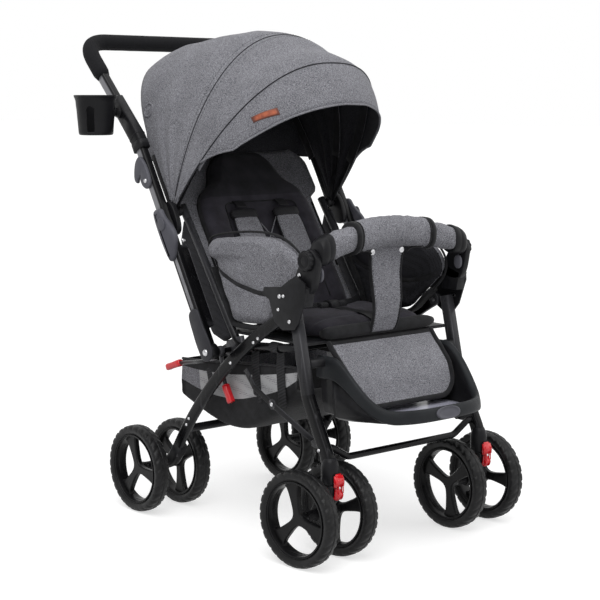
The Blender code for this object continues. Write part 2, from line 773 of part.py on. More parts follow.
def bumper():
    end = COLLAR_X0 - CLEAR
    band = BAR_SLEEVE_LENGTH / 2
    stations = [(end, BAR_HEIGHT * 0.94), (end * 0.93, BAR_HEIGHT), (band + 0.012, BAR_HEIGHT),
                (band + 0.004, BAR_HEIGHT * 0.97), (band, BAR_SLEEVE_HEIGHT * 0.95),
                (band * 0.6, BAR_SLEEVE_HEIGHT), (0, BAR_SLEEVE_HEIGHT * 1.01)]
    full = [(-x, h) for x, h in stations] + [(x, h) for x, h in reversed(stations[:-1])]
    origin = (0, KNOB_Y, KNOB_Z)
    put("bumper_bar", mesh_from(bar_rings(full, 0.90)), "grey_cloth", origin)
    for name, side in SIDES:
        steps = [(side * COLLAR_X0, COLLAR_HEIGHT * 0.97), (side * (COLLAR_X0 + 0.003), COLLAR_HEIGHT),
                 (side * (COLLAR_X1 - 0.004), COLLAR_HEIGHT * 0.92), (side * COLLAR_X1, COLLAR_HEIGHT * 0.80)]
        put("bar_collar_" + name, mesh_from(bar_rings(steps, COLLAR_DEPTH / COLLAR_HEIGHT)), "black_plastic",
            (side * COLLAR_X1, KNOB_Y, KNOB_Z))


def strap():
    """Crotch strap: from under the bar down to the front edge of the seat."""
    foot = CUSHION_Z + 0.006
    rings = []
    rows = 8
    for k in range(rows + 1):
        t = k / rows
        y = KNOB_Y + 0.003 + 0.004 * math.sin(math.pi * 2 * t) + 0.012 * t ** 4
        half = (STRAP_TOP_WIDTH + (STRAP_FOOT_WIDTH - STRAP_TOP_WIDTH) * t ** 0.6) / 2
        ring = []
        for a, b in oval(12, 4.0):
            top = bar_centre(half * a).z - BAR_SLEEVE_HEIGHT / 2 * 1.01 - STRAP_GAP
            ring.append(Vector((half * a, y + STRAP_THICKNESS / 2 * b, top + (foot - top) * t)))
        rings.append(ring)
    put("crotch_strap", mesh_from(rings), "grey_cloth", (0, KNOB_Y, foot))


# Rear legs and their cross tube

REAR_LEG_FOOT = (0.150, 0.125)
REAR_LEG_PULL = (0.030, 0.322)
REAR_FOOT_PATH = ((0.136, 0.145), (0.165, 0.108))


def rear_leg_curve(side, steps=9):
    x = side * REAR_LEG_X
    return bend((x, FOLD_PIVOT_Y, FOLD_PIVOT_Z), (x, *REAR_LEG_PULL), (x, *REAR_LEG_FOOT), steps)


def rear_leg(name, side):
    curve = rear_leg_curve(side)
    mesh = sweep(curve, REAR_LEG_WIDTH / 2, REAR_LEG_DEPTH / 2, 8, 4.0)
    item = put("rear_leg_" + name, mesh, "black_paint", curve[0])
    x = side * TRACK / 2
    fold_pivot = (FOLD_PIVOT_Y, FOLD_PIVOT_Z)
    foot = [(x, *place) for place in REAR_FOOT_PATH] + [(x, REAR_AXLE_Y, WHEEL_RADIUS)]
    join(item, sweep(rounded(foot, 0.05, 2), FORK_THICKNESS / 2, 0.0135, 8, 4.0))
    inner_face = (PAIR_SPACING - HUB_WIDTH) / 2 - CLEAR
    axle_half = PAIR_SPACING / 2 + HUB_WIDTH * 0.15
    join(item, rod_x(x - inner_face, x + inner_face, REAR_AXLE_Y, WHEEL_RADIUS, SPACER_DIAMETER),
         rod_x(x - axle_half, x + axle_half, REAR_AXLE_Y, WHEEL_RADIUS, AXLE_DIAMETER),
         rod_x(side * REAR_LEG_INNER, side * REAR_LEG_OUTER, *fold_pivot, REAR_LEG_DEPTH * 1.05, 14))
    cut(item, rod_x(side * (REAR_LEG_INNER - 0.01), side * (REAR_LEG_OUTER + 0.01), *fold_pivot,
                    FOLD_PIN_DIAMETER + 2 * PIN_CLEARANCE))


def rear_cross_tube():
    seat = rear_leg_curve(1, 20)[17]
    end = REAR_LEG_INNER - CLEAR
    radius = CROSS_TUBE_DIAMETER / 2
    mesh = sweep([(-end, seat.y, seat.z), (end, seat.y, seat.z)], radius, radius, 12, 2.0, (0, 1, 0))
    put("rear_cross_tube", mesh, "black_paint", (0, FOLD_PIVOT_Y, FOLD_PIVOT_Z))


# Seat frame

RELEASE_LUG = ((-0.050, 0.368), (-0.045, 0.384), (0.000, 0.372), (0.026, 0.358), (0.026, 0.346),
               (0.014, 0.342), (-0.020, 0.350))
POST_BEND = 0.035
PIN_HEAD_DIAMETER = 0.018
PIN_HEAD_LENGTH = 0.0035


def seat_frame():
    foot = Vector((0, RAIL_REAR_Y, RAIL_REAR_Z))
    top = Vector((0, CANOPY_Y, CANOPY_Z)) + rake(HANDLE_RAKE) * POST_END
    half = [top, foot, Vector((0, RAIL_FRONT_Y, RAIL_FRONT_Z))]
    right = [p + Vector((-RAIL_X, 0, 0)) for p in half]
    left = [p + Vector((RAIL_X, 0, 0)) for p in half]
    path = rounded(right + list(reversed(left)), POST_BEND, 3)
    radius = RAIL_DIAMETER / 2
    item = put("seat_frame", sweep(path, radius, radius, 10), "black_paint")
    pin_end = HANDLE_OUTER + 0.004
    bow_end = HANDLE_INNER - 0.0012
    for _, side in SIDES:
        shelf = [(RAIL_REAR_Y - 0.020, RAIL_REAR_Z - 0.006), (RAIL_REAR_Y - 0.012, RAIL_REAR_Z + 0.020),
                 (HANDLE_PIVOT_Y + 0.012, HANDLE_PIVOT_Z + 0.016),
                 (HANDLE_PIVOT_Y + 0.014, HANDLE_PIVOT_Z - 0.010), (HANDLE_PIVOT_Y, HANDLE_PIVOT_Z - 0.016)]
        join(item, extrude_x(shelf, side * (RAIL_X - 0.004), side * (RAIL_X + 0.006)))
        join(item, rod_x(side * RAIL_X, side * pin_end, HANDLE_PIVOT_Y, HANDLE_PIVOT_Z, PIVOT_PIN_DIAMETER))
        join(item, rod_x(side * RAIL_X, side * bow_end, CANOPY_Y, CANOPY_Z, PIVOT_PIN_DIAMETER))
        head_start = side * (pin_end - PIN_HEAD_LENGTH)
        join(item, rod_x(head_start, side * pin_end, HANDLE_PIVOT_Y, HANDLE_PIVOT_Z, PIN_HEAD_DIAMETER))
    lug_face = RAIL_X - RELEASE_LEVER_WIDTH / 2 - CLEAR
    join(item, extrude_x(RELEASE_LUG, -(lug_face - LUG_THICKNESS), -lug_face),
         rod_x(-(lug_face - 0.003), -(RAIL_X + RELEASE_LEVER_WIDTH / 2), *RELEASE_EYE, LEVER_PIN_DIAMETER))


def seat_board():
    """Board on the rails, its narrower tongue passing between the two posts."""
    rear = SEAT_REAR_Y + BOARD_MARGIN
    step = RAIL_REAR_Y + BOARD_MARGIN
    tongue = RAIL_X - RAIL_DIAMETER / 2 - BOARD_POST_GAP
    bottom = BOARD_Z
    top = bottom + BOARD_THICKNESS
    half = [(RAIL_X, SEAT_FRONT_Y), (RAIL_X, step), (tongue, step), (tongue, rear)]
    outline = half + [(-x, y) for x, y in reversed(half)]
    rings = [[Vector((x, y, z)) for x, y in outline] for z in (bottom, top)]
    item = put("seat_board", mesh_from(rings), "black_plastic", (0, rear, bottom), smooth=False)
    soften(item, 0.0015)


def seat_cushion():
    middle = (SEAT_FRONT_Y + SEAT_REAR_Y) / 2
    half = (SEAT_REAR_Y - SEAT_FRONT_Y) / 2
    mesh = pillow((0, middle, CUSHION_Z), (1, 0, 0), (0, 1, 0), (0, 0, 1), SEAT_HALF_WIDTH, half,
                  CUSHION_THICKNESS, 0.25, 5.0, 28)
    put("seat_cushion", mesh, "dark_cloth", (0, middle, CUSHION_Z))


BACK_FOOT = Vector((0, SEAT_REAR_Y + BACK_FOOT_SETBACK, CUSHION_Z + BACK_FOOT_HEIGHT))


def backrest():
    lean = rake(BACK_RAKE)
    out = square_to(lean)
    middle = BACK_FOOT + lean * BACK_LENGTH / 2 - out * BACK_THICKNESS / 2
    mesh = pillow(middle, X_AXIS, lean, out, BACK_HALF_WIDTH, BACK_LENGTH / 2, BACK_THICKNESS, 0.15, 3.2, 28)
    put("backrest", mesh, "dark_cloth", BACK_FOOT)
    face = BACK_THICKNESS * (1.155 / 2 + 0.09)
    for name, side in SIDES:
        centre = BACK_FOOT + lean * BACK_LENGTH * PAD_PLACE + out * face + X_AXIS * side * PAD_OFFSET
        pad = pillow(centre, X_AXIS, lean, out, PAD_WIDTH / 2, PAD_LENGTH / 2, PAD_THICKNESS, 0.15, 4.0, 16)
        put("shoulder_pad_" + name, pad, "grey_cloth", BACK_FOOT)


WING_OUTLINE = ((0.058, 0.573), (0.020, 0.586), (-0.083, 0.597), (-0.160, 0.592), (-0.214, 0.566),
                (-0.244, 0.530), (-0.236, 0.492), (-0.190, 0.450), (-0.150, 0.418), (-0.100, 0.410),
                (-0.030, 0.409), (-0.012, 0.425), (0.010, 0.465), (0.042, 0.516), (0.060, 0.548))
FLAP_FOOT = (-0.325, 0.280)
FLAP_BULGE = 0.012


def side_wing(name, side):
    """Padded side of the seat: thick rolled top, thinner lower panel."""
    centre_y = sum(y for y, _ in WING_OUTLINE) / len(WING_OUTLINE)
    centre_z = sum(z for _, z in WING_OUTLINE) / len(WING_OUTLINE)
    outer = LEG_INNER - CLEAR
    layers = [(0.93, 0.0), (0.985, 0.2), (1.0, 0.5), (0.985, 0.8), (0.93, 1.0)]
    rings = []
    for scale, share in layers:
        x = side * (outer - WING_THICKNESS * (1 - share))
        rings.append([Vector((x, centre_y + (y - centre_y) * scale, centre_z + (z - centre_z) * scale))
                      for y, z in WING_OUTLINE])
    put("side_wing_" + name, mesh_from(rings), "grey_cloth", (side * outer, centre_y, centre_z))


def leg_flap():
    """Padded cloth that hangs from the front of the seat into the footrest."""
    top = Vector((0, SEAT_FRONT_Y - CLEAR - FLAP_THICKNESS / 2 * 0.9, BOARD_Z + BOARD_THICKNESS / 2))
    foot = Vector((0, *FLAP_FOOT))
    rows = 7
    rings = []
    for k in range(rows + 1):
        t = k / rows
        middle = top.lerp(foot, t)
        middle.y -= FLAP_BULGE * math.sin(math.pi * t) ** 2
        half = FLAP_HALF_WIDTH * (1 - 0.22 * max(t - 0.72, 0) / 0.28)
        ring = []
        for a, b in oval(14, 5.0):
            lean = -FLAP_THICKNESS / 2 * b * 0.4 * t
            ring.append(middle + Vector((half * a, FLAP_THICKNESS / 2 * b * 0.9, lean)))
        rings.append(ring)
    put("leg_flap", mesh_from(rings), "grey_cloth", top)


# Canopy

def bow_point(angle, reach, half_width, power, t):
    """Point of an arch in the plane at an angle above the forward horizontal."""
    c, s = math.cos(t), math.sin(t)
    size = (abs(c) ** power + abs(s) ** power) ** (1 / power)
    x = -half_width * c / size
    r = reach * s / size
    a = math.radians(angle)
    return Vector((x, CANOPY_Y - r * math.cos(a), CANOPY_Z + r * math.sin(a)))


def canopy_arch(angle):
    """Reach and squareness of the cover at an angle, between those of its bows."""
    stops = [(FRONT_BOW_ANGLE, FRONT_BOW_REACH, 2.4), (MID_BOW_ANGLE, MID_BOW_REACH, 2.2),
             (REAR_BOW_ANGLE, REAR_BOW_REACH, 3.5)]
    for low, high in zip(stops, stops[1:]):
        if angle <= high[0]:
            share = (angle - low[0]) / (high[0] - low[0])
            return (low[1] + (high[1] - low[1]) * share, low[2] + (high[2] - low[2]) * share)
    return stops[-1][1:]


def arch_angles(columns):
    """Even places along an arch, from just above one pivot to just above the other."""
    first = 0.045
    return [first + (math.pi - 2 * first) * k / columns for k in range(columns + 1)]


def bow(name, angle, layer):
    """Flat strip arch, pivoted on the post's pin by an eye at each end."""
    reach, power = canopy_arch(angle)
    inset = CANOPY_CLOTH + BOW_GAP + BOW_THICKNESS / 2 + BOW_STEP * layer
    half_width = CANOPY_HALF_WIDTH - inset
    rings = []
    ts = [0.02] + arch_angles(CANOPY_COLUMNS) + [math.pi - 0.02]
    for t in ts:
        p = bow_point(angle, reach - inset, half_width, power, t)
        q = bow_point(angle, reach - inset, half_width, power, t + 0.01)
        tangent = (q - p).normalized()
        a = math.radians(angle)
        flat = Vector((0, math.sin(a), math.cos(a)))
        out = tangent.cross(flat)
        corners = ((-1, -1), (1, -1), (1, 1), (-1, 1))
        rings.append([p + flat * BOW_WIDTH / 2 * i + out * BOW_THICKNESS / 2 * j for i, j in corners])
    pivot = (0, CANOPY_Y, CANOPY_Z)
    item = put("canopy_bow_" + name, mesh_from(rings), "black_plastic", pivot)
    for _, side in SIDES:
        middle = side * half_width
        join(item, rod_x(middle - BOW_THICKNESS / 2, middle + BOW_THICKNESS / 2, CANOPY_Y, CANOPY_Z,
                         BOW_EYE_DIAMETER, 8))
    cut(item, rod_x(-0.3, 0.3, CANOPY_Y, CANOPY_Z, PIVOT_PIN_DIAMETER + 2 * PIN_CLEARANCE))


def canopy_cover():
    """One sheet: rear curtain, dome over the bows and the forward visor."""
    columns = CANOPY_COLUMNS
    ts = arch_angles(columns)
    angles = [REAR_BOW_ANGLE, 112.0, 100.0, 87.0, MID_BOW_ANGLE, 66.0, 58.0, FRONT_BOW_ANGLE]
    points = []
    rows = []
    for angle in angles:
        reach, power = canopy_arch(angle)
        rows.append([len(points) + k for k in range(columns + 1)])
        points += [bow_point(angle, reach, CANOPY_HALF_WIDTH, power, t) for t in ts]
    faces = []
    for low, high in zip(rows, rows[1:]):
        faces += [(low[k], low[k + 1], high[k + 1], high[k]) for k in range(columns)]
    faces += visor_faces(points, rows[-1], ts)
    faces += curtain_faces(points, rows[0])
    cloth(points, faces, CANOPY_CLOTH, "canopy_cover", "grey_cloth", (0, CANOPY_Y, CANOPY_Z))


def reach_of(point):
    return math.hypot(point.y - CANOPY_Y, point.z - CANOPY_Z)


def visor_faces(points, bow_row, ts):
    """Rows that run from the front bow to the visor's edge, meeting at the two tips."""
    inside = [k for k in range(len(bow_row)) if reach_of(points[bow_row[k]]) > VISOR_START]
    first, last = inside[0], inside[-1]
    previous = bow_row[first:last + 1]
    faces = []
    steps = 3
    for step in range(1, steps + 1):
        share = step / steps
        row = []
        for k in range(first, last + 1):
            if k in (first, last):
                row.append(bow_row[k])
                continue
            start = points[bow_row[k]]
            s = (k - first) / (last - first)
            swell = math.sin(math.pi * s) ** VISOR_SWELL
            target = bow_point(VISOR_ANGLE, VISOR_REACH, VISOR_HALF_WIDTH, VISOR_POWER, ts[k])
            middle = start.lerp(target, share * swell)
            points.append(middle)
            row.append(len(points) - 1)
        for i in range(len(row) - 1):
            corners = (previous[i], previous[i + 1], row[i + 1], row[i])
            faces.append(tuple(dict.fromkeys(corners)))
        previous = row
    return faces


def curtain_faces(points, rear_row):
    """Rows that hang inside the rear bow, then straight down behind the headrest to a level hem."""
    hem = CURTAIN_HEM
    inside = [k for k in range(len(rear_row)) if reach_of(points[rear_row[k]]) > hem]
    first, last = inside[0], inside[-1]
    down = Vector((0, -math.cos(math.radians(REAR_BOW_ANGLE)), math.sin(math.radians(REAR_BOW_ANGLE))))
    previous = rear_row[first:last + 1]
    faces = []
    for share in (0.35, 0.7, 1.0):
        row = []
        for k in range(first, last + 1):
            start = points[rear_row[k]]
            drop = (reach_of(start) - hem) * share
            inward = 1 - CURTAIN_TAPER * share
            place = start - down * drop
            y = max(place.y, min(CANOPY_Y + CURTAIN_SETBACK, start.y))
            points.append(Vector((place.x * inward, y, place.z)))
            row.append(len(points) - 1)
        for i in range(len(row) - 1):
            faces.append((previous[i + 1], previous[i], row[i], row[i + 1]))
        previous = row
    return faces


# Handle

HANDLE_PIVOT = Vector((0, HANDLE_PIVOT_Y, HANDLE_PIVOT_Z))
HANDLE_KNEE = HANDLE_PIVOT + rake(HANDLE_RAKE) * HANDLE_STRAIGHT
HANDLE_TOP = HANDLE_KNEE + rake(HANDLE_TOP_RAKE) * HANDLE_TOP_LENGTH


def handle():
    right = Vector((-HANDLE_HALF_WIDTH, 0, 0))
    left = Vector((HANDLE_HALF_WIDTH, 0, 0))
    knees = rounded([HANDLE_PIVOT + right, HANDLE_KNEE + right, HANDLE_TOP + right, HANDLE_TOP + left,
                     HANDLE_KNEE + left, HANDLE_PIVOT + left], HANDLE_CORNER, 4)
    mesh = sweep(knees, HANDLE_TUBE_WIDTH / 2, HANDLE_TUBE_DEPTH / 2, 10, 4.0)
    item = put("handle_tube", mesh, "grey_tube", HANDLE_PIVOT)
    for _, side in SIDES:
        join(item, rod_x(side * (HANDLE_INNER + 0.0004), side * (HANDLE_OUTER - 0.0004), HANDLE_PIVOT_Y,
                         HANDLE_PIVOT_Z, PIVOT_BOSS_DIAMETER, 16))
    cut(item, rod_x(-0.3, 0.3, HANDLE_PIVOT_Y, HANDLE_PIVOT_Z, PIVOT_PIN_DIAMETER + 2 * PIN_CLEARANCE))
    grip_start = HANDLE_TOP - rake(HANDLE_TOP_RAKE) * GRIP_ARM_LENGTH
    grip_path = rounded([grip_start + right, HANDLE_TOP + right, HANDLE_TOP + left, grip_start + left],
                        HANDLE_CORNER, 4)
    bore = (HANDLE_TUBE_WIDTH / 2 + 0.0008, HANDLE_TUBE_DEPTH / 2 + 0.0008)
    mesh = sleeve(grip_path, (GRIP_DIAMETER / 2, GRIP_DIAMETER / 2), bore)
    put("handle_grip", mesh, "foam", HANDLE_PIVOT)


def arm_point(distance):
    """Point on the arm's middle line, measured up from the pivot."""
    return HANDLE_PIVOT + rake(HANDLE_RAKE) * distance


def on_arm(distance, forward):
    """(y, z) of a point beside the arm: forward is square to it."""
    point = arm_point(distance) + square_to(rake(HANDLE_RAKE)) * forward
    return (point.y, point.z)


def handle_latch(name, side):
    """Cover over the reversing latch, held to the outer face of the arm."""
    low, high = LATCH_BOTTOM, LATCH_BOTTOM + LATCH_LENGTH
    middle = (low + high) / 2
    outline = [on_arm(high, -0.011), on_arm(high, 0.012), on_arm(high - 0.020, 0.018),
               on_arm(middle + 0.005, 0.030), on_arm(middle - 0.012, 0.033), on_arm(middle - 0.028, 0.026),
               on_arm(low + 0.008, 0.012), on_arm(low, 0.002), on_arm(low + 0.004, -0.010),
               on_arm(middle, -0.015)]
    start = side * (HANDLE_OUTER + CLEAR)
    mesh = extrude_x(outline, start, start + side * LATCH_THICKNESS)
    item = put("handle_latch_" + name, mesh, "grey_plastic", (start, *on_arm(middle, 0)))
    soften(item, 0.003, 2)


def fold_hook():
    """Catch on the right arm, turning on its rivet."""
    pivot = 0.375
    low = -0.012
    outline = [on_arm(pivot + 0.050, low), on_arm(pivot + 0.052, 0.004), on_arm(pivot + 0.030, 0.012),
               on_arm(pivot, 0.012), on_arm(pivot - 0.014, 0.004), on_arm(pivot - 0.014, -0.008),
               on_arm(pivot - 0.002, -0.016), on_arm(pivot + 0.012, -0.016), on_arm(pivot + 0.018, -0.010),
               on_arm(pivot + 0.016, -0.022), on_arm(pivot + 0.010, -0.030), on_arm(pivot + 0.020, -0.034),
               on_arm(pivot + 0.036, -0.026)]
    start = -(HANDLE_OUTER + CLEAR)
    item = put("fold_hook", extrude_x(outline, start, start - HOOK_THICKNESS), "grey_plastic",
               (start, *on_arm(pivot, 0)))
    soften(item, 0.0015)


CUP_X = -(HANDLE_OUTER + 0.013 + CUP_DIAMETER / 2)


def cup_mount():
    """Sleeve on the right arm at its bend, with the stub that carries the cup."""
    right = Vector((-HANDLE_HALF_WIDTH, 0, 0))
    low = HANDLE_KNEE - rake(HANDLE_RAKE) * 0.004
    path = rounded([low - rake(HANDLE_RAKE) * 0.02 + right, HANDLE_KNEE + right,
                    HANDLE_KNEE + rake(HANDLE_TOP_RAKE) * 0.110 + right], HANDLE_CORNER, 4)
    bore = (HANDLE_TUBE_WIDTH / 2 + 0.0004, HANDLE_TUBE_DEPTH / 2 + 0.0004)
    outer = (HANDLE_TUBE_WIDTH / 2 + 0.0035, HANDLE_TUBE_DEPTH / 2 + 0.0045)
    mesh = sleeve(path, outer, bore, 12, (4.0, 4.0))
    item = put("cup_mount", mesh, "black_plastic", HANDLE_KNEE + right)
    hinge = cup_hinge()
    stub_start = -(HANDLE_OUTER + 0.0015)
    join(item, rod_x(stub_start, CUP_X + CUP_BOSS_REACH + CLEAR, hinge.y, hinge.z, CUP_BOSS_DIAMETER, 14))


def cup_hinge():
    """Where the cup's pin meets the sleeve: on the upper arm, at the cup's own height."""
    lift = (CUP_RIM_Z - CUP_HEIGHT * 0.42 - HANDLE_KNEE.z) / rake(HANDLE_TOP_RAKE).z
    return HANDLE_KNEE + rake(HANDLE_TOP_RAKE) * lift


def cup_holder():
    radius, foot = CUP_DIAMETER / 2, CUP_FOOT_DIAMETER / 2
    hinge = cup_hinge()
    top, low = CUP_RIM_Z, CUP_RIM_Z - CUP_HEIGHT
    place = (CUP_X, hinge.y)
    outer = [(foot * 0.93, low), (foot, low + 0.005), (radius * 0.93, top - 0.008), (radius, top)]
    origin = (CUP_X + radius, hinge.y, hinge.z)
    item = put("cup_holder", lathe_z(outer, place, CUP_SIDES), "black_plastic", origin)
    join(item, rod_x(CUP_X + foot, CUP_X + CUP_BOSS_REACH, hinge.y, hinge.z, CUP_BOSS_DIAMETER, 14))
    inside = [(foot * 0.93 - CUP_WALL, low + CUP_WALL), (foot - CUP_WALL, low + 0.006),
              (radius * 0.93 - CUP_WALL, top - 0.008), (radius, top + 0.010)]
    cut(item, lathe_z(inside, place, CUP_SIDES))
    slot_low, slot_high = low + 0.014, top - 0.026
    half = 0.0075
    slot = [(hinge.y - half, slot_low), (hinge.y + half, slot_low), (hinge.y + half, slot_high),
            (hinge.y, slot_high + 0.006), (hinge.y - half, slot_high)]
    for angle in (40, 140, 220, 320):
        mesh = extrude_x(slot, foot * 0.6, radius * 1.4)
        spin = Matrix.Rotation(math.radians(angle), 4, "Z")
        mesh.transform(Matrix.Translation((CUP_X, hinge.y, 0)) @ spin @ Matrix.Translation((0, -hinge.y, 0)))
        cut(item, mesh)


# Footrest

def tray_rim_z(y):
    share = (y - TRAY_RISE_FRONT_Y) / (TRAY_RISE_REAR_Y - TRAY_RISE_FRONT_Y)
    share = min(max(share, 0), 1)
    return TRAY_LIP_Z + (TRAY_WALL_Z - TRAY_LIP_Z) * (3 * share ** 2 - 2 * share ** 3)


def tray_row(width_share, depth_share, drop, columns):
    """One U-shaped row of the tray, from the right rear round the front to the left rear."""
    row = []
    full_depth = TRAY_REAR_Y - TRAY_FRONT_Y
    for k in range(columns + 1):
        t = math.pi * k / columns
        c, s = math.cos(t), math.sin(t)
        x = -TRAY_HALF_WIDTH * width_share * math.copysign(abs(c) ** (2 / TRAY_POWER), c)
        depth = full_depth * abs(s) ** (2 / TRAY_POWER)
        rim = tray_rim_z(TRAY_REAR_Y - depth)
        row.append(Vector((x, TRAY_REAR_Y - depth * depth_share, rim - drop(rim))))
    return row


def footrest_tray():
    columns = 18

    def level(share):
        return lambda rim: (rim - TRAY_FLOOR_Z) * share

    rows = [tray_row(1.0, 1.0, lambda rim: 0.010, columns), tray_row(0.985, 0.992, lambda rim: 0.0, columns),
            tray_row(0.925, 0.955, lambda rim: 0.003, columns), tray_row(0.88, 0.90, level(0.75), columns),
            tray_row(0.80, 0.84, level(1.0), columns), tray_row(0.40, 0.60, level(1.0), columns)]
    points = [p for row in rows for p in row]
    size = columns + 1
    faces = []
    for j in range(len(rows) - 1):
        for k in range(columns):
            a = j * size + k
            faces.append((a, a + 1, a + 1 + size, a + size))
    last = (len(rows) - 1) * size
    half = columns // 2
    for k in range(half - 1):
        faces.append((last + k, last + k + 1, last + columns - k - 1, last + columns - k))
    faces.append((last + half - 1, last + half, last + half + 1))
    pivot = (0, leg_y(TRAY_PIVOT_Z), TRAY_PIVOT_Z)
    item = cloth(points, faces, TRAY_WALL, "footrest_tray", "black_plastic", pivot)
    for _, side in SIDES:
        start = side * (TRAY_HALF_WIDTH - TRAY_BOSS_DIAMETER / 2)
        end = side * (LEG_INNER - CLEAR)
        join(item, rod_x(start, end, pivot[1] - 0.004, TRAY_PIVOT_Z, TRAY_BOSS_DIAMETER))


# Basket: stations are (rim y, rim z, floor z, floor y), the section (width share, drop share)

BASKET_STATIONS = ((0.160, 0.318, 0.236, 0.178), (0.090, 0.322, 0.206, 0.085), (0.0, 0.330, 0.196, 0.0),
                   (-0.090, 0.338, 0.222, -0.080), (-0.165, 0.344, 0.262, -0.150),
                   (-0.205, 0.346, 0.300, -0.188))
BASKET_SECTION = ((1.0, 0.0), (0.985, 0.30), (0.96, 0.70), (0.88, 1.0), (0.45, 1.03))
BASKET_STRAP_WIDTH = 0.024
BASKET_STRAP_FOOT_Z = 0.324
BASKET_STRAP_PLACES = (-0.080, -0.155)


def rail_bottom(y):
    """Just under the seat rail at a place along it."""
    share = (RAIL_REAR_Y - y) / (RAIL_REAR_Y - RAIL_FRONT_Y)
    return RAIL_REAR_Z + (RAIL_FRONT_Z - RAIL_REAR_Z) * share - RAIL_DIAMETER / 2 - 2 * CLEAR


def basket():
    """Slung cloth basket, its straps reaching up to the seat rails."""
    points = []
    rows = []
    for rim_y, rim_z, floor_z, floor_y in BASKET_STATIONS:
        half = []
        for width, drop in BASKET_SECTION:
            share = min(drop, 1.0)
            half.append((width, rim_y + (floor_y - rim_y) * share, rim_z + (floor_z - rim_z) * drop))
        ring = [Vector((-BASKET_HALF_WIDTH * w, y, z)) for w, y, z in half]
        ring += [Vector((BASKET_HALF_WIDTH * w, y, z)) for w, y, z in reversed(half)]
        rows.append([len(points) + i for i in range(len(ring))])
        points += ring
    faces = []
    for low, high in zip(rows, rows[1:]):
        faces += [(low[i], low[i + 1], high[i + 1], high[i]) for i in range(len(low) - 1)]
    for row, flip in ((rows[0], False), (rows[-1], True)):
        count = len(row)
        for i in range(count // 2 - 1):
            face = (row[i], row[i + 1], row[count - 2 - i], row[count - 1 - i])
            faces.append(tuple(reversed(face)) if flip else face)
    item = cloth(points, faces, BASKET_CLOTH, "basket", "dark_cloth", (0, 0, 0.33))
    item.modifiers["thickness"].use_even_offset = False
    for _, side in SIDES:
        for y in BASKET_STRAP_PLACES:
            foot = BASKET_STRAP_FOOT_Z
            rear, front = y + BASKET_STRAP_WIDTH / 2, y - BASKET_STRAP_WIDTH / 2
            strip = [(front, foot), (rear, foot), (rear, rail_bottom(rear)), (front, rail_bottom(front))]
            x = BASKET_HALF_WIDTH
            join(item, extrude_x(strip, side * (x - BASKET_CLOTH * 0.75), side * (x - BASKET_CLOTH * 0.4)))
            low_front, low_rear = rail_bottom(front) - BASKET_CLOTH, rail_bottom(rear) - BASKET_CLOTH
            loop = [(front, low_front), (rear, low_rear), (rear, rail_bottom(rear)),
                    (front, rail_bottom(front))]
            join(item, extrude_x(loop, side * (x - BASKET_CLOTH * 0.7), side * RAIL_X))


# Fold brace and red-tipped levers

BRACE_TOGGLE = (-0.143, 0.270)
BRACE_RISE = (-0.090, 0.294)
BRACE_END = (-0.062, 0.326)
FOLD_LEVER_PATH = ((0.030, 0.334), (0.112, 0.320), (0.152, 0.306))
RELEASE_LEVER_PATH = ((0.008, 0.300), (0.002, 0.284), (-0.016, 0.254))
FOLD_LEVER_WIDTH = 0.010
LEVER_EYE_DIAMETER = 0.020


def fold_brace(name, side):
    start = brace_foot()
    x = side * (LEG_INNER - CLEAR - BRACE_THICKNESS / 2)
    points = [(x, *place) for place in (start, BRACE_TOGGLE, BRACE_RISE, BRACE_END)]
    mesh = sweep(rounded(points, 0.02, 2), BRACE_THICKNESS / 2, BRACE_DEPTH / 2, 8, 4.0)
    item = put("fold_brace_" + name, mesh, "black_paint", (x, *start))
    for place, size in ((BRACE_TOGGLE, 1.7), (start, 1.15)):
        join(item, rod_x(x - BRACE_THICKNESS / 2, x + BRACE_THICKNESS / 2, *place, BRACE_DEPTH * size, 10))


def lever(name, x, eye, path, width, pin_diameter):
    """Rod with an eye at its root and a thicker grip at its tip, bored for its pin."""
    bend_at, tip_start, tip_end = path
    points = [(x, *eye), (x, *bend_at), (x, *tip_start)]
    radius = LEVER_ROD_DIAMETER / 2
    item = put(name, sweep(rounded(points, 0.02, 3), radius, radius, 8), "red_plastic", (x, *eye))
    grip = LEVER_TIP_DIAMETER / 2
    grip_start = Vector(tip_start).lerp(Vector(tip_end), -0.1)
    join(item, sweep([(x, *grip_start), (x, *tip_end)], grip, grip, 8, 3.0))
    join(item, rod_x(x - width / 2, x + width / 2, *eye, LEVER_EYE_DIAMETER, 12))
    cut(item, rod_x(x - width, x + width, *eye, pin_diameter + 2 * PIN_CLEARANCE))


def levers():
    fold_x = -(REAR_LEG_OUTER + ARM_SPACE * 0.405)
    lever("fold_lever", fold_x, (HANDLE_PIVOT_Y, HANDLE_PIVOT_Z), FOLD_LEVER_PATH, FOLD_LEVER_WIDTH,
          PIVOT_PIN_DIAMETER)
    lever("release_lever", -RAIL_X, RELEASE_EYE, RELEASE_LEVER_PATH, RELEASE_LEVER_WIDTH, LEVER_PIN_DIAMETER)


def build():
    wheels()
    for name, side in SIDES:
        front_leg(name, side)
        caster(name, side)
        hub_bracket(name, side)
        hub_knob(name, side)
        rear_leg(name, side)
        handle_latch(name, side)
        side_wing(name, side)
        fold_brace(name, side)
    front_cross_tube()
    rear_cross_tube()
    seat_frame()
    bumper()
    strap()
    seat_board()
    seat_cushion()
    backrest()
    leg_flap()
    bow("front", FRONT_BOW_ANGLE + BOW_INSET_ANGLE, 0)
    bow("middle", MID_BOW_ANGLE, 1)
    bow("rear", REAR_BOW_ANGLE - BOW_INSET_ANGLE, 2)
    canopy_cover()
    handle()
    fold_hook()
    cup_mount()
    cup_holder()
    footrest_tray()
    basket()
    levers()


build()
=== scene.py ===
"""Looks of the reversible stroller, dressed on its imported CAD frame.

Metres, +Z up. The stroller faces -Y and its right side is -X. Side views are (y, z) pairs.
"""
from math import copysign, cos, exp, hypot, pi, radians, sin, sqrt, tan

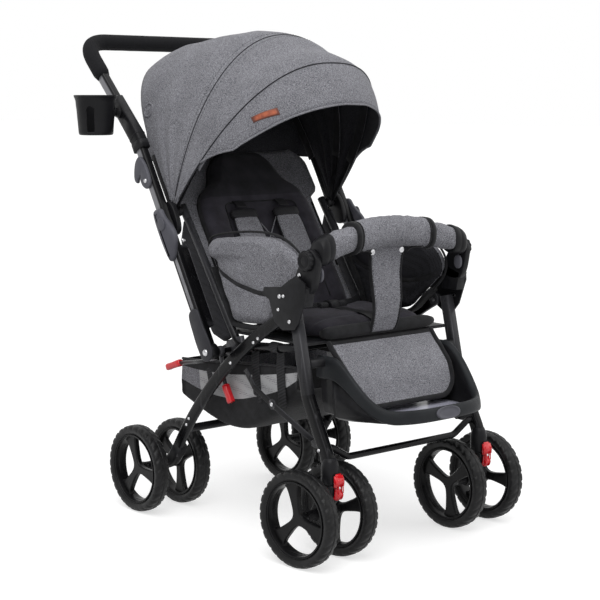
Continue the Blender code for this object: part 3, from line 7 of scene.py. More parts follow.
import bmesh
import bpy
from mathutils import Matrix, Vector, noise
from mathutils.bvhtree import BVHTree


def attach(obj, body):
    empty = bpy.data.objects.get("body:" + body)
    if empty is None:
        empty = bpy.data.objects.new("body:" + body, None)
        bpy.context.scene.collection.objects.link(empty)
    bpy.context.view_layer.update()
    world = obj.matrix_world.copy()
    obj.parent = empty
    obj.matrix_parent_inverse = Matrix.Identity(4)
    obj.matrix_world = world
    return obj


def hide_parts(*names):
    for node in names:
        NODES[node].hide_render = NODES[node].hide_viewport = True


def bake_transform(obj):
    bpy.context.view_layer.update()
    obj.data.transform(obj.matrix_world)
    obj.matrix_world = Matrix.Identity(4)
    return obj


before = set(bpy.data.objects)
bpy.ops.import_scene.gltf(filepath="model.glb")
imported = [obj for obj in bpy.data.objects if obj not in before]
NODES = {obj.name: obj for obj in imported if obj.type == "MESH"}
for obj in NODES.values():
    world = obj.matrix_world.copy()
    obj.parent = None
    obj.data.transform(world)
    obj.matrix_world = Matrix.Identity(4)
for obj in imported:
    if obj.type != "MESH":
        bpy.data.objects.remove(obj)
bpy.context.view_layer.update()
SIDES = (("right", -1), ("left", 1))
ENDS = ("rear", "front")
X_AXIS = Vector((1, 0, 0))
SCENE = bpy.context.scene

def clamp(value):
    return min(max(value, 0), 1)


def bell(value):
    """1 at zero, falling off smoothly to both sides."""
    return exp(-value ** 2)


def rake(degrees):
    """Direction up and back in the side view."""
    a = radians(degrees)
    return Vector((0, sin(a), cos(a)))


def square_to(direction):
    return Vector((0, -direction.z, direction.y))


# Sizes shared with the CAD frame
CLEAR = 0.0003
TIP = 0.00001
CLOTH_THICK = 0.0018
WEB_THICK = 0.0016
SLEEVE_THICK = 0.0016
TUBE_BEND = 0.055
WHEEL_RADIUS = 0.090
PAIR_SPACING = 0.105
TRACK = 0.398
REAR_AXLE_Y = 0.213
SWIVEL_Y = -0.320
CASTER_TRAIL = 0.028
CASTER_TURN = radians(5.3)
FORK_TOP_Z = 0.150
LEG_X = 0.200
LEG_INNER = 0.190
PLATE_X0 = 0.2103
PLATE_X1 = 0.2143
ARM_FACE = 0.2035
KNOB = (-0.263, 0.555)
KNOB_RADIUS = 0.0195
KNOB_SIDES = 144
COLLAR_X0 = 0.1587
COLLAR_X1 = 0.1897
REAR_LEG_X = 0.204
RAIL_X = 0.187
FOLD_PIVOT = (-0.192, 0.444)
CANOPY = Vector((0, 0.135, 0.624))
CANOPY_MIDDLE = CANOPY + Vector((0, -0.030, 0.100))
CANOPY_HALF_WIDTH = 0.215
FOLD_START, FOLD_END = (0, 0.239, 0.6532), (0, 0.0464, 0.5991)
CURTAIN_HEM = 0.1175
SEAT_FRONT_Y = -0.240
SEAT_REAR_Y = 0.005
CUSHION_Z = 0.3996
BACK_FOOT = Vector((0, 0.0075, 0.4166))
BACK_OUTLINE = ((0.0, 0.134), (0.008, 0.141), (0.030, 0.1445), (0.220, 0.1450), (0.245, 0.1425),
                (0.262, 0.139), (0.277, 0.130), (0.286, 0.122), (0.293, 0.110), (0.299, 0.103),
                (0.308, 0.096), (0.3175, 0.0905), (0.330, 0.086), (0.342, 0.080), (0.353, 0.072),
                (0.362, 0.061), (0.368, 0.048), (0.372, 0.030), (0.3735, 0.0))
HANDLE_X = 0.240
HANDLE_PIVOT = Vector((0, -0.020, 0.361))
HANDLE_KNEE = Vector((0, 0.2152, 0.7668))
HANDLE_TOP = Vector((0, 0.4122, 0.9672))
ARM_LEAN = rake(30.1)
UPPER_LEAN = rake(44.5)
TRAY_REAR_Y = -0.236
TRAY_FRONT_Y = -0.424
TRAY_HALF_WIDTH = 0.158
TRAY_FLOOR_Z = 0.262
BASKET_HALF_WIDTH = 0.176


def srgb(red, green, blue):
    """Screen values from 0 to 255 as a linear colour."""
    return tuple(((c / 255 + 0.055) / 1.055) ** 2.4 if c > 10 else c / 255 / 12.92
                 for c in (red, green, blue))


# Materials

class Look:
    """One procedural material, painted in the piece's own coordinates."""

    def __init__(self, name, colour, rough, metal=0.0, **fixed):
        self.material = bpy.data.materials.new(name)
        self.material.use_nodes = True
        self.tree = self.material.node_tree
        self.shader = self.tree.nodes["Principled BSDF"]
        self.coords = self.tree.nodes.new("ShaderNodeTexCoord")
        self.paint(Base_Color=colour, Roughness=rough, Metallic=metal, **fixed)

    def fill(self, node, values):
        """Link or set the inputs of a node."""
        for socket, value in values.items():
            plug = node.inputs[socket.replace("_", " ") if isinstance(socket, str) else socket]
            if hasattr(value, "is_linked"):
                self.tree.links.new(value, plug)
            else:
                plug.default_value = (*value, 1) if plug.type == "RGBA" else value
        return node

    def node(self, kind, output, values, **settings):
        made = self.tree.nodes.new("ShaderNode" + kind)
        for key, value in settings.items():
            setattr(made, key, value)
        return self.fill(made, values).outputs[output]

    def paint(self, **values):
        self.fill(self.shader, values)

    def place(self, stretch, turn=(0, 0, 0)):
        values = {"Vector": self.coords.outputs["Object"], "Scale": stretch, "Rotation": turn}
        return self.node("Mapping", "Vector", values)

    def noise(self, scale, detail=2.0, stretch=(1, 1, 1)):
        return self.node("TexNoise", "Fac", {"Vector": self.place(stretch), "Scale": scale, "Detail": detail})

    def cells(self, scale, turn=(0, 0, 0), jitter=1.0):
        values = {"Vector": self.place((1, 1, 1), turn), "Scale": scale, "Randomness": jitter}
        return self.node("TexVoronoi", "Distance", values)

    def bands(self, period, stretch):
        """Waves that repeat each period metres along the stretched axes."""
        values = {"Vector": self.place(stretch), "Scale": pi / (10 * period), "Distortion": 0.0}
        return self.node("TexWave", "Fac", values, bands_direction="DIAGONAL")

    def weave(self, period, slant):
        """Two sets of bands that cross each other."""
        return self.calc("ADD", self.bands(period, (1, slant, 0)), self.bands(period, (0, slant, 1)))

    def span(self, value, low, high, out_low=0.0, out_high=1.0):
        values = {"Value": value, "From Min": low, "From Max": high, "To Min": out_low, "To Max": out_high}
        return self.node("MapRange", "Result", values)

    def calc(self, operation, first, second):
        return self.node("Math", 0, {0: first, 1: second}, operation=operation)

    def sum(self, first, first_share, second, second_share):
        """Two values, each times its share, added up."""
        first, second = self.calc("MULTIPLY", first, first_share), self.calc("MULTIPLY", second, second_share)
        return self.calc("ADD", first, second)

    def tint(self, share, first, second):
        """Colour between two others by a share from 0 to 1."""
        return self.node("Mix", 2, {0: share, 6: first, 7: second}, data_type="RGBA")

    def bump(self, height, distance, strength):
        values = {"Height": height, "Distance": distance, "Strength": strength}
        self.paint(Normal=self.node("Bump", "Normal", values))

    def edge_wear_and_highlight(self, low=0.52, high=0.62):
        """Share that rises on the outer edges of a shape: rubbed edges, and on the black paint painted
        highlight lines.
        """
        return self.span(self.node("NewGeometry", "Pointiness", {}), low, high)


def melange(name, dark, light, speckle=440.0):
    """Woven cloth of mixed light and dark yarn."""
    look = Look(name, light, 0.92, Sheen_Weight=0.08, Sheen_Roughness=0.5, Specular_IOR_Level=0.2)
    mixed = look.sum(look.noise(speckle, 3.0, (1, 1, 2.2)), 0.55,
                     look.noise(speckle * 1.15, 2.0, (2.4, 2.0, 1)), 0.45)
    patch = look.span(look.noise(16, 3.0), 0.3, 0.7, -0.07, 0.07)
    look.paint(Base_Color=look.tint(look.calc("ADD", look.span(mixed, 0.39, 0.61), patch), dark, light))
    weave = look.calc("MULTIPLY", look.weave(0.0017, 0.6), 0.4)
    look.bump(look.calc("ADD", weave, mixed), 0.0006, 0.55)
    return look.material


def smooth_cloth(name, colour, lighter, crease=30.0):
    look = Look(name, colour, 0.85, Sheen_Weight=0.06, Sheen_Roughness=0.6, Specular_IOR_Level=0.2)
    look.paint(Base_Color=look.tint(look.span(look.noise(crease, 3.0), 0.35, 0.7), colour, lighter))
    look.bump(look.calc("ADD", look.weave(0.0011, 0.5), look.noise(700, 2.0)), 0.0003, 0.4)
    return look.material


def mesh_cloth(name, yarn, hole, pitch, low=0.25, high=0.45):
    """Knitted mesh: rows of small holes between light yarns."""
    look = Look(name, yarn, 0.8, Specular_IOR_Level=0.25)
    share = look.span(look.cells(1 / pitch, (0.3, 0.2, 0.1), 0.25), low, high)
    look.paint(Base_Color=look.tint(share, hole, yarn))
    look.bump(share, 0.0005, 0.6)
    return look.material


def webbing(name, colour, lighter):
    look = Look(name, colour, 0.7, Specular_IOR_Level=0.25)
    ribs = look.bands(0.0024, (1, 0.4, 0.9))
    look.paint(Base_Color=look.tint(ribs, colour, lighter))
    look.bump(ribs, 0.0004, 0.7)
    return look.material


def moulded(name, colour, paler_tone, rough, grain=900.0, depth=0.00012, coat=0.0):
    """Moulded plastic with a fine grain and rubbed edges."""
    look = Look(name, colour, rough, Coat_Weight=coat, Coat_Roughness=0.15, Specular_IOR_Level=0.14)
    cloud = look.span(look.noise(14, 4.0), 0.3, 0.75)
    rub = look.calc("MULTIPLY", look.edge_wear_and_highlight(), look.span(look.noise(60, 3.0), 0.4, 0.6))
    look.paint(Base_Color=look.tint(look.sum(cloud, 0.25, rub, 0.5), colour, paler_tone),
               Roughness=look.span(look.noise(40, 3.0), 0.3, 0.7, rough - 0.06, rough + 0.08))
    look.bump(look.noise(grain, 2.0), depth, 0.7)
    return look.material


def painted(name, colour, paler_tone, rough, metal=0.1):
    """Powder-coated tube: a slight orange peel, thin scuffs and painted highlight lines along its edges."""
    look = Look(name, colour, rough, metal, Coat_Weight=0.04, Coat_Roughness=0.12, Specular_IOR_Level=0.12)
    scuff = look.span(look.noise(120, 4.0, (1, 1, 0.12)), 0.62, 0.75)
    # The paler tone on the outer edges is a painted highlight; on the scuffs it is real wear.
    look.paint(Base_Color=look.tint(look.sum(scuff, 0.35, look.edge_wear_and_highlight(), 0.8), colour, paler_tone),
               Roughness=look.span(look.noise(25, 3.0), 0.3, 0.7, rough - 0.05, rough + 0.1))
    look.bump(look.noise(450, 2.0), 0.0001, 0.5)
    return look.material


def pored(name, base, dark, light, rough, metal, scale, low, depth, strength, **fixed):
    """One noise that drives both the colour and the relief, for foam and turned steel."""
    look = Look(name, base, rough, metal, **fixed)
    pores = look.noise(scale, 3.0)
    look.paint(Base_Color=look.tint(look.span(pores, low, 1 - low), dark, light))
    look.bump(pores, depth, strength)
    return look.material


def rubber_look():
    look = Look("rubber", srgb(20, 20, 21), 0.42, Specular_IOR_Level=0.2)
    dust = look.span(look.noise(35, 4.0), 0.35, 0.75)
    look.paint(Base_Color=look.tint(dust, srgb(14, 14, 15), srgb(31, 31, 32)),
               Roughness=look.span(look.noise(90, 3.0), 0.3, 0.7, 0.34, 0.5))
    look.bump(look.noise(800, 3.0), 0.0002, 0.6)
    return look.material


def leather_look():
    look = Look("tag_leather", srgb(170, 84, 48), 0.5, Coat_Weight=0.15)
    patch = look.span(look.noise(120, 3.0), 0.35, 0.65)
    burnt = look.tint(patch, srgb(138, 62, 34), srgb(182, 92, 54))
    look.paint(Base_Color=look.tint(look.edge_wear_and_highlight(0.5, 0.6), burnt, srgb(96, 44, 26)))
    look.bump(look.cells(900), 0.0002, 0.6)
    return look.material


def tube_reflection_look():
    """Handle tube: a painted reflection in grey behind, black on the side that faces forward."""
    look = Look("tube_painted_reflection", srgb(120, 120, 124), 0.3, 0.2, Coat_Weight=0.08, Coat_Roughness=0.15,
                Specular_IOR_Level=0.2)
    forward = (0, -cos(radians(33)), sin(radians(33)))
    facing = look.node("VectorMath", "Value", {0: look.coords.outputs["Normal"], 1: forward},
                       operation="DOT_PRODUCT")
    scuff = look.span(look.noise(140, 4.0, (1, 0.2, 0.2)), 0.55, 0.8)
    grey = look.tint(scuff, srgb(128, 128, 132), srgb(158, 158, 162))
    # Grey where the normal faces back: a painted reflection of the bright backdrop on the black tube.
    look.paint(Base_Color=look.tint(look.span(facing, 0.05, 0.20), grey, srgb(14, 14, 16)))
    look.bump(look.noise(500, 2.0), 0.00008, 0.5)
    return look.material


CLOTH = melange("grey_melange", srgb(66, 66, 71), srgb(150, 150, 156))
# Inside of the canopy: the grey melange painted darker as shade; the dark seams beside the bows use it too.
SHADED_LINING_AND_SEAMS = melange("canopy_lining_painted_shade", srgb(22, 22, 26), srgb(60, 60, 65))
LINER = smooth_cloth("seat_liner", srgb(34, 32, 38), srgb(52, 50, 58))
HEADREST = smooth_cloth("headrest_liner", srgb(22, 21, 25), srgb(38, 37, 43))
TRIM = smooth_cloth("black_tape", srgb(13, 13, 15), srgb(29, 29, 32), 60)
DARK_MESH = mesh_cloth("black_mesh", srgb(36, 36, 40), srgb(8, 8, 9), 0.0032)
LIGHT_MESH = mesh_cloth("grey_mesh", srgb(168, 168, 170), srgb(86, 86, 90), 0.0036, 0.18, 0.36)
WEB = webbing("black_webbing", srgb(12, 12, 14), srgb(40, 40, 43))
# srgb(88, 88, 92) colours the scuffs and the painted highlight lines along the tube edges.
PAINT = painted("black_paint", srgb(11, 11, 13), srgb(88, 88, 92), 0.24)
TUBE = tube_reflection_look()
PLASTIC = moulded("black_plastic", srgb(17, 17, 19), srgb(46, 46, 49), 0.40)
SATIN = moulded("satin_wheel_plastic", srgb(13, 13, 14), srgb(40, 40, 42), 0.30, 500.0, 0.00008)
TRAY_LOOK = moulded("footrest_plastic", srgb(25, 27, 29), srgb(56, 58, 62), 0.46, 1300.0, 0.0003)
STRIP = moulded("silver_plastic", srgb(150, 150, 164), srgb(186, 186, 198), 0.3, 700.0, 0.00006, 0.3)
DARK_GREY = moulded("dark_grey_plastic", srgb(40, 40, 44), srgb(74, 74, 79), 0.40)
GREY = moulded("grey_plastic", srgb(74, 74, 81), srgb(118, 118, 124), 0.38)
RED = moulded("red_plastic", srgb(196, 12, 26), srgb(226, 58, 62), 0.22, 500.0, 0.00004, 0.6)
RUBBER = rubber_look()
FOAM = pored("foam_grip", srgb(20, 20, 22), srgb(12, 12, 14), srgb(30, 30, 33), 0.9, 0.0, 1100, 0.35, 0.0004,
             0.8, Specular_IOR_Level=0.2)
STEEL = pored("zinc_steel", srgb(190, 190, 192), srgb(150, 150, 153), srgb(220, 220, 222), 0.28, 1.0, 260,
              0.3, 0.00008, 0.6)
LEATHER = leather_look()

# Slot name of each look; item() looks one up by a piece's first look, or takes the piece's own, and then
# doesn't use it
SLOTS = {look.name: slot for slot, looks in (("grey_cloth", (CLOTH,)),
                                             ("dark_cloth", (LINER, TRIM, DARK_MESH, WEB)),
                                             ("black_paint", (PAINT,)), ("grey_tube", (TUBE,)),
                                             ("black_plastic", (PLASTIC, SATIN, TRAY_LOOK)),
                                             ("foam", (FOAM,)), ("grey_plastic", (STRIP, GREY, STEEL)),
                                             ("red_plastic", (RED, LEATHER)), ("rubber", (RUBBER,)))
         for look in looks}


# Shapes

def spline(points, steps=6, loop=False):
    """Smooth curve through points."""
    points = [Vector(p) for p in points]
    count = len(points)
    spans = count if loop else count - 1
    path = []
    for i in range(spans):
        if loop:
            a, b, c, d = (points[(i + k) % count] for k in (-1, 0, 1, 2))
        else:
            b, c = points[i], points[i + 1]
            a = points[i - 1] if i else b * 2 - c
            d = points[i + 2] if i + 2 < count else c * 2 - b
        for k in range(steps):
            t = k / steps
            path.append(((b * 2) + (c - a) * t + (a * 2 - b * 5 + c * 4 - d) * t ** 2
                         + (b * 3 - a - c * 3 + d) * t ** 3) * 0.5)
    if not loop:
        path.append(points[-1])
    return path


def rounded(points, radius, steps=8):
    """Polyline with each inner corner replaced by a curve, as in the CAD."""
    points = [Vector(p) for p in points]
    path = [points[0]]
    last = len(points) - 3
    for i, (before, corner, after) in enumerate(zip(points, points[1:], points[2:])):
        into, out = before - corner, after - corner
        reach = radius / tan(into.angle(out) / 2)
        reach = min(reach, into.length * (0.95 if i == 0 else 0.49),
                    out.length * (0.95 if i == last else 0.49))
        a, b = corner + into.normalized() * reach, corner + out.normalized() * reach
        for k in range(steps + 1):
            t = k / steps
            path.append(a * (1 - t) ** 2 + corner * 2 * t * (1 - t) + b * t ** 2)
    path.append(points[-1])
    return path


def curve(start, pull, end, steps):
    start, pull, end = Vector(start), Vector(pull), Vector(end)
    return [start * (1 - k / steps) ** 2 + pull * 2 * k / steps * (1 - k / steps) + end * (k / steps) ** 2
            for k in range(steps + 1)]


def oval(sides, power=2.0, phase=0.5):
    points = []
    for k in range(sides):
        a = (k + phase) * 2 * pi / sides
        c, s = cos(a), sin(a)
        points.append((copysign(abs(c) ** (2 / power), c), copysign(abs(s) ** (2 / power), s)))
    return points


def frames(path, side):
    found = []
    side = Vector(side)
    for i, point in enumerate(path):
        before, after = path[max(i - 1, 0)], path[min(i + 1, len(path) - 1)]
        tangent = ((point - before).normalized() + (after - point).normalized()).normalized()
        side = (side - tangent * side.dot(tangent)).normalized()
        found.append((point, side.copy(), tangent.cross(side)))
    return found


def inset(outline, amount):
    """Move a closed outline of pairs inward along its corner normals."""
    count = len(outline)
    area = sum(outline[i][0] * outline[(i + 1) % count][1] - outline[(i + 1) % count][0] * outline[i][1]
               for i in range(count))
    turn = 1 if area > 0 else -1
    moved = []
    for i in range(count):
        (ax, ay), (bx, by) = outline[i - 1], outline[(i + 1) % count]
        dx, dy = bx - ax, by - ay
        size = hypot(dx, dy) or 1
        moved.append((outline[i][0] - dy / size * amount * turn, outline[i][1] + dx / size * amount * turn))
    return moved


def soft_outline(points, steps=5):
    return [(p[0], p[1]) for p in spline([(y, z, 0) for y, z in points], steps, loop=True)]


def ripple(point, size, seed=0.0):
    """Smooth noise from -1 to 1 with features of about the given size."""
    return noise.noise(Vector(point) / size + Vector((seed, seed * 1.7, -seed)))


class Form:
    """A mesh being built, with the number of a look on each face."""

    def __init__(self):
        self.points = []
        self.faces = []
        self.marks = []

    def skin(self, rows, wrap=False, close=False, caps=False, mark=0, flip=False, skip=None):
        """Faces over rows of points. Mark, a number or a function, and skip go by (row, column)."""
        base = len(self.points)
        count = len(rows[0])
        self.points += [Vector(p) for row in rows for p in row]
        pairs = len(rows) if close else len(rows) - 1
        across = count if wrap else count - 1
        for i in range(pairs):
            for j in range(across):
                if skip and skip(i, j):
                    continue
                a, b = base + i * count, base + (i + 1) % len(rows) * count
                k = (j + 1) % count
                face = (a + j, a + k, b + k, b + j)
                self.faces.append(face[::-1] if flip else face)
                self.marks.append(mark(i, j) if callable(mark) else mark)
        if caps:
            mark = mark(0, 0) if callable(mark) else mark
            first = tuple(base + j for j in range(count))
            last = tuple(base + (len(rows) - 1) * count + j for j in range(count))
            self.faces += [first if flip else first[::-1], last[::-1] if flip else last]
            self.marks += [mark, mark]
        return self

    def loft(self, rows, **more):
        """Closed shape over rings of points, with flat ends."""
        return self.skin(rows, wrap=True, caps=True, **more)

    def sweep(self, path, half_side, half_normal, sides=14, power=2.0, side=X_AXIS, mark=0, scale=None,
              bulge=None):
        path = [Vector(p) for p in path]
        rows = []
        for i, (point, across, up) in enumerate(frames(path, side)):
            size = scale(i / (len(path) - 1)) if scale else 1.0
            row = []
            for a, b in oval(sides, power):
                offset = across * half_side * a + up * half_normal * b
                grow = size * (1 + bulge(point + offset)) if bulge else size
                row.append(point + offset * grow)
            rows.append(row)
        return self.loft(rows, mark=mark)

    def lathe(self, profile, centre, axis, sides=28, mark=0, ring=False):
        """Turn (distance along the axis, radius) pairs about an axis through centre."""
        spin = Vector(axis).to_track_quat("Z", "X")
        centre = Vector(centre)
        rows = []
        for k in range(sides):
            a = 2 * pi * k / sides
            rows.append([centre + spin @ Vector((r * cos(a), r * sin(a), d)) for d, r in profile])
        return self.skin(rows, wrap=ring, close=True, mark=mark)

    def rivet(self, centre, axis, radius, mark=0):
        profile = [(-0.002, radius * 0.9), (0, radius), (radius * 0.25, radius * 0.97),
                   (radius * 0.5, radius * 0.75), (radius * 0.6, radius * 0.4), (radius * 0.52, TIP)]
        return self.lathe(profile, centre, axis, 14, mark)

    def prism(self, outline, x0, x1, edge=0.0012, mark=0):
        """Plate between two x planes with rounded rims."""
        step = edge if x1 > x0 else -edge
        layers = [(inset(outline, edge), x0), (inset(outline, edge * 0.3), x0 + step * 0.3),
                  (outline, x0 + step), (outline, x1 - step), (inset(outline, edge * 0.3), x1 - step * 0.3),
                  (inset(outline, edge), x1)]
        return self.loft([[Vector((x, y, z)) for y, z in ring] for ring, x in layers], mark=mark)

    def ribbon(self, path, across, width, thickness, mark=0):
        """Flat webbing along a path; across is one direction or one for each point."""
        path = [Vector(p) for p in path]
        rows = []
        for i, point in enumerate(path):
            side = Vector(across[i] if isinstance(across, list) else across).normalized()
            before, after = path[max(i - 1, 0)], path[min(i + 1, len(path) - 1)]
            out = (after - before).normalized().cross(side).normalized()
            row = [point + side * width / 2 * a + out * thickness / 2 * b for a, b in oval(12, 5.0)]
            rows.append(row)
        return self.loft(rows, mark=mark)

    def stitches(self, path, out, radius=0.0004, length=0.0035, gap=0.0025, mark=0):
        """Thread seen as short dashes along a path."""
        path = [Vector(p) for p in path]
        lengths = [0.0]
        for a, b in zip(path, path[1:]):
            lengths.append(lengths[-1] + (b - a).length)

        def at(distance):
            for i in range(len(path) - 1):
                if distance <= lengths[i + 1]:
                    share = (distance - lengths[i]) / max(lengths[i + 1] - lengths[i], 1e-9)
                    return path[i].lerp(path[i + 1], share)
            return path[-1]

        distance = 0.0
        while distance + length < lengths[-1]:
            ends = [at(distance), at(distance + length / 2), at(distance + length)]
            direction = Vector(out(ends[1]) if callable(out) else out).normalized()
            middle = ends[1] + direction * radius * 1.3
            self.sweep([ends[0] - direction * radius, middle, ends[2] - direction * radius], radius, radius,
                       5, side=direction.orthogonal(), mark=mark)
            distance += length + gap
        return self

    def item(self, name, body, looks, replaces=None, slot=None, closed=True, smooth_angle=None):
        """Finish the mesh as a piece that rides on a body."""
        mesh = bpy.data.meshes.new(name)
        mesh.from_pydata([tuple(p) for p in self.points], [], self.faces)
        for look in looks:
            mesh.materials.append(look)
        mesh.polygons.foreach_set("material_index", self.marks)
        made = bpy.data.objects.new(name, mesh)
        SCENE.collection.objects.link(made)
        if closed:
            weld(made, None)
        mesh.shade_smooth()
        if smooth_angle:
            mesh.set_sharp_from_angle(angle=radians(smooth_angle))
        if body:
            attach(made, body)
        if replaces:
            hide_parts(replaces)
        slot = slot or SLOTS.get(looks[0].name)
        return made


def weld(made, distance=0.0002, outward=True):
    """Join points that lie within the distance and turn all faces outward."""
    bm = bmesh.new()
    bm.from_mesh(made.data)
    if distance:
        bmesh.ops.remove_doubles(bm, verts=bm.verts, dist=distance)
    if outward:
        bmesh.ops.recalc_face_normals(bm, faces=bm.faces)
    bm.to_mesh(made.data)
    bm.free()


def rivets(name, body, spots, turned=lambda form: form):
    """Steel rivet heads, each with a place, a direction and a radius."""
    form = Form()
    for spot in spots:
        form.rivet(*spot)
    turned(form).item(name, body, [STEEL])


def thicken(made, thickness, inner=0, offset=-1.0):
    step = made.modifiers.new("thickness", "SOLIDIFY")
    step.thickness, step.offset, step.material_offset, step.material_offset_rim = thickness, offset, inner, 0


def settle(made):
    """Turn a piece's modifiers into its mesh."""
    bpy.context.view_layer.update()
    graph = bpy.context.evaluated_depsgraph_get()
    mesh = bpy.data.meshes.new_from_object(made.evaluated_get(graph))
    made.modifiers.clear()
    old = made.data
    made.data = mesh
    bpy.data.meshes.remove(old)


def stuff(made, voxel, cap, pressure=4.0, last=20):
    """Swell a closed pad with cloth pressure, each point held within cap of its start."""
    looks = [slot.material for slot in made.material_slots]
    step = made.modifiers.new("remesh", "REMESH")
    step.mode, step.voxel_size = "VOXEL", voxel
    step.use_smooth_shade = True
    settle(made)
    made.data.materials.clear()
    for look in looks:
        made.data.materials.append(look)
    start = [v.co.copy() for v in made.data.vertices]
    cloth = made.modifiers.new("cloth", "CLOTH")
    cloth.settings.use_pressure = True
    cloth.settings.uniform_pressure_force = pressure
    cloth.settings.effector_weights.gravity = 0
    cloth.settings.quality = 4
    cloth.point_cache.frame_start, cloth.point_cache.frame_end = 1, last
    for number in range(1, last + 1):
        SCENE.frame_set(number)
    settle(made)
    for vertex, home in zip(made.data.vertices, start):
        move = vertex.co - home
        if move.length > cap:
            vertex.co = home + move.normalized() * cap
    SCENE.frame_set(1)
    made.data.shade_smooth()


def finer(made):
    step = made.modifiers.new("finer", "SUBSURF")
    step.levels = step.render_levels = 1


# Camera, floor and light

EYE = (-1.985, -2.305, 0.839)
GAZE = Vector((0.648, 0.7505, -0.130))
FIELD = radians(22.61)
WHITE = 0.62


def studio():
    """The photo's camera, a white world that is dimmer to the camera, and soft lamps."""
    camera = bpy.data.cameras.new("photo_camera")
    camera.sensor_width = 36
    camera.lens = camera.sensor_width / 2 / tan(FIELD / 2)
    holder = bpy.data.objects.new("photo_camera", camera)
    holder.location = EYE
    holder.rotation_euler = GAZE.to_track_quat("-Z", "Y").to_euler()
    SCENE.collection.objects.link(holder)
    SCENE.camera = holder
    SCENE.view_settings.view_transform = "Standard"
    world = bpy.data.worlds.new("studio")
    SCENE.world = world
    world.use_nodes = True
    tree = world.node_tree
    paths = tree.nodes.new("ShaderNodeLightPath")
    seen, more = tree.nodes.new("ShaderNodeMath"), tree.nodes.new("ShaderNodeMath")
    seen.operation = more.operation = "MAXIMUM"
    strength = tree.nodes.new("ShaderNodeMapRange")
    strength.inputs["To Min"].default_value, strength.inputs["To Max"].default_value = WHITE, 1.0
    back = tree.nodes["Background"]
    back.inputs["Color"].default_value = (1, 1, 1, 1)
    for out, plug in ((paths.outputs["Is Camera Ray"], seen.inputs[0]),
                      (paths.outputs["Is Glossy Ray"], more.inputs[0]),
                      (paths.outputs["Is Transmission Ray"], more.inputs[1]),
                      (more.outputs[0], seen.inputs[1]), (seen.outputs[0], strength.inputs["Value"]),
                      (strength.outputs["Result"], back.inputs["Strength"])):
        tree.links.new(out, plug)
    sun = bpy.data.lights.new("sky", "SUN")
    sun.energy, sun.angle = 1.1, radians(40)
    overhead = bpy.data.objects.new("sky", sun)
    overhead.rotation_euler = (Vector((0.35, 0.30, -1))).to_track_quat("-Z", "Y").to_euler()
    SCENE.collection.objects.link(overhead)
    for name, place, size, power in (("key", (-2.2, -2.4, 3.0), 2.4, 46), ("fill", (2.6, -1.8, 2.0), 2.6, 18),
                                     ("top", (0.3, 0.6, 3.4), 2.6, 12)):
        lamp = bpy.data.lights.new(name, "AREA")
        lamp.size, lamp.energy = size, power
        light = bpy.data.objects.new(name, lamp)
        light.location = place
        light.rotation_euler = (Vector((0, 0, 0.45)) - Vector(place)).to_track_quat("-Z", "Y").to_euler()
        SCENE.collection.objects.link(light)


def floor():
    look = Look("studio_floor", (0.5, 0.5, 0.5), 0.9, Specular_IOR_Level=0.1)
    paths = look.tree.nodes.new("ShaderNodeLightPath")
    seen = look.calc("MAXIMUM", paths.outputs["Is Camera Ray"], paths.outputs["Is Glossy Ray"])
    grain = look.span(look.noise(3.0, 2.0), 0.0, 1.0, 0.98, 1.0)
    glow = look.calc("MULTIPLY", look.calc("MULTIPLY", seen, WHITE), grain)
    look.paint(Emission_Color=(1, 1, 1), Emission_Strength=glow)
    form = Form()
    form.skin([[Vector((x, y, 0)) for x in (-40, -4, 4, 40)] for y in (-40, -4, 4, 60)])
    made = form.item("floor", None, [look.material], closed=False)


# Wheels

TYRE_HALF = 0.016
BLOCKS = 30
PHASES = {"rear_right_outer": 20, "rear_right_inner": 65, "rear_left_outer": 40, "rear_left_inner": 10,
          "front_right_outer": 12, "front_right_inner": 48, "front_left_outer": 30, "front_left_inner": 68}


def tread(angle, share):
    """Depth of the tyre's grooves: slanted shoulder blocks beside a middle groove."""
    if abs(share) < 0.06:
        return 0.0012
    slant = 0.80 * abs(share) + (0.5 if share > 0 else 0.0)
    turn = (angle / (2 * pi) * BLOCKS + slant) % 1.0
    deep = 0.0020 if abs(share) > 0.5 else 0.0007
    return deep if turn < 0.34 else 0.0


def tyre_mesh():
    side = [(0.62, 0.0715), (0.76, 0.0717), (0.84, 0.0726), (0.86, 0.0740), (0.93, 0.0752), (0.99, 0.0785),
            (1.0, 0.0815), (0.985, 0.0842), (0.93, 0.0864), (0.82, 0.0880), (0.66, 0.0890), (0.45, 0.0897),
            (0.24, 0.0899), (0.12, 0.0900), (0.04, 0.0900)]
    profile = [(-s, r) for s, r in side] + [(s, r) for s, r in reversed(side)]
    sides = 240
    rows = []
    for k in range(sides):
        a = 2 * pi * k / sides
        row = []
        for share, r in profile:
            depth = tread(a, share) if r > 0.0838 else 0.0
            row.append(Vector((share * TYRE_HALF, (r - depth) * sin(a), (r - depth) * cos(a))))
        rows.append(row)
    return Form().skin(rows, wrap=True, close=True)


def window(spoke, grow=0.0):
    """Outline of the opening between two spokes, in the wheel's plane."""
    first = 2 * pi * spoke / 3
    second = first + 2 * pi / 3
    reach, shoulder, half, inner = 0.0652, 0.036, 0.0102, 0.0125
    edge = []
    for k in range(0, 9, 2):
        a = first + 0.40 + (2 * pi / 3 - 0.80 + 0.22) * (k / 8) - 0.11
        edge.append(Vector((reach * sin(a), reach * cos(a), 0)))
    valley = first + pi / 3
    apex = Vector((inner * sin(valley), inner * cos(valley), 0))
    left = Vector((sin(first), cos(first), 0)) * shoulder + Vector((cos(first), -sin(first), 0)) * half
    right = Vector((sin(second), cos(second), 0)) * shoulder
    right -= Vector((cos(second), -sin(second), 0)) * half
    return inset([(p.x, p.y) for p in spline([apex, left, *edge, right], 8, loop=True)], -grow)


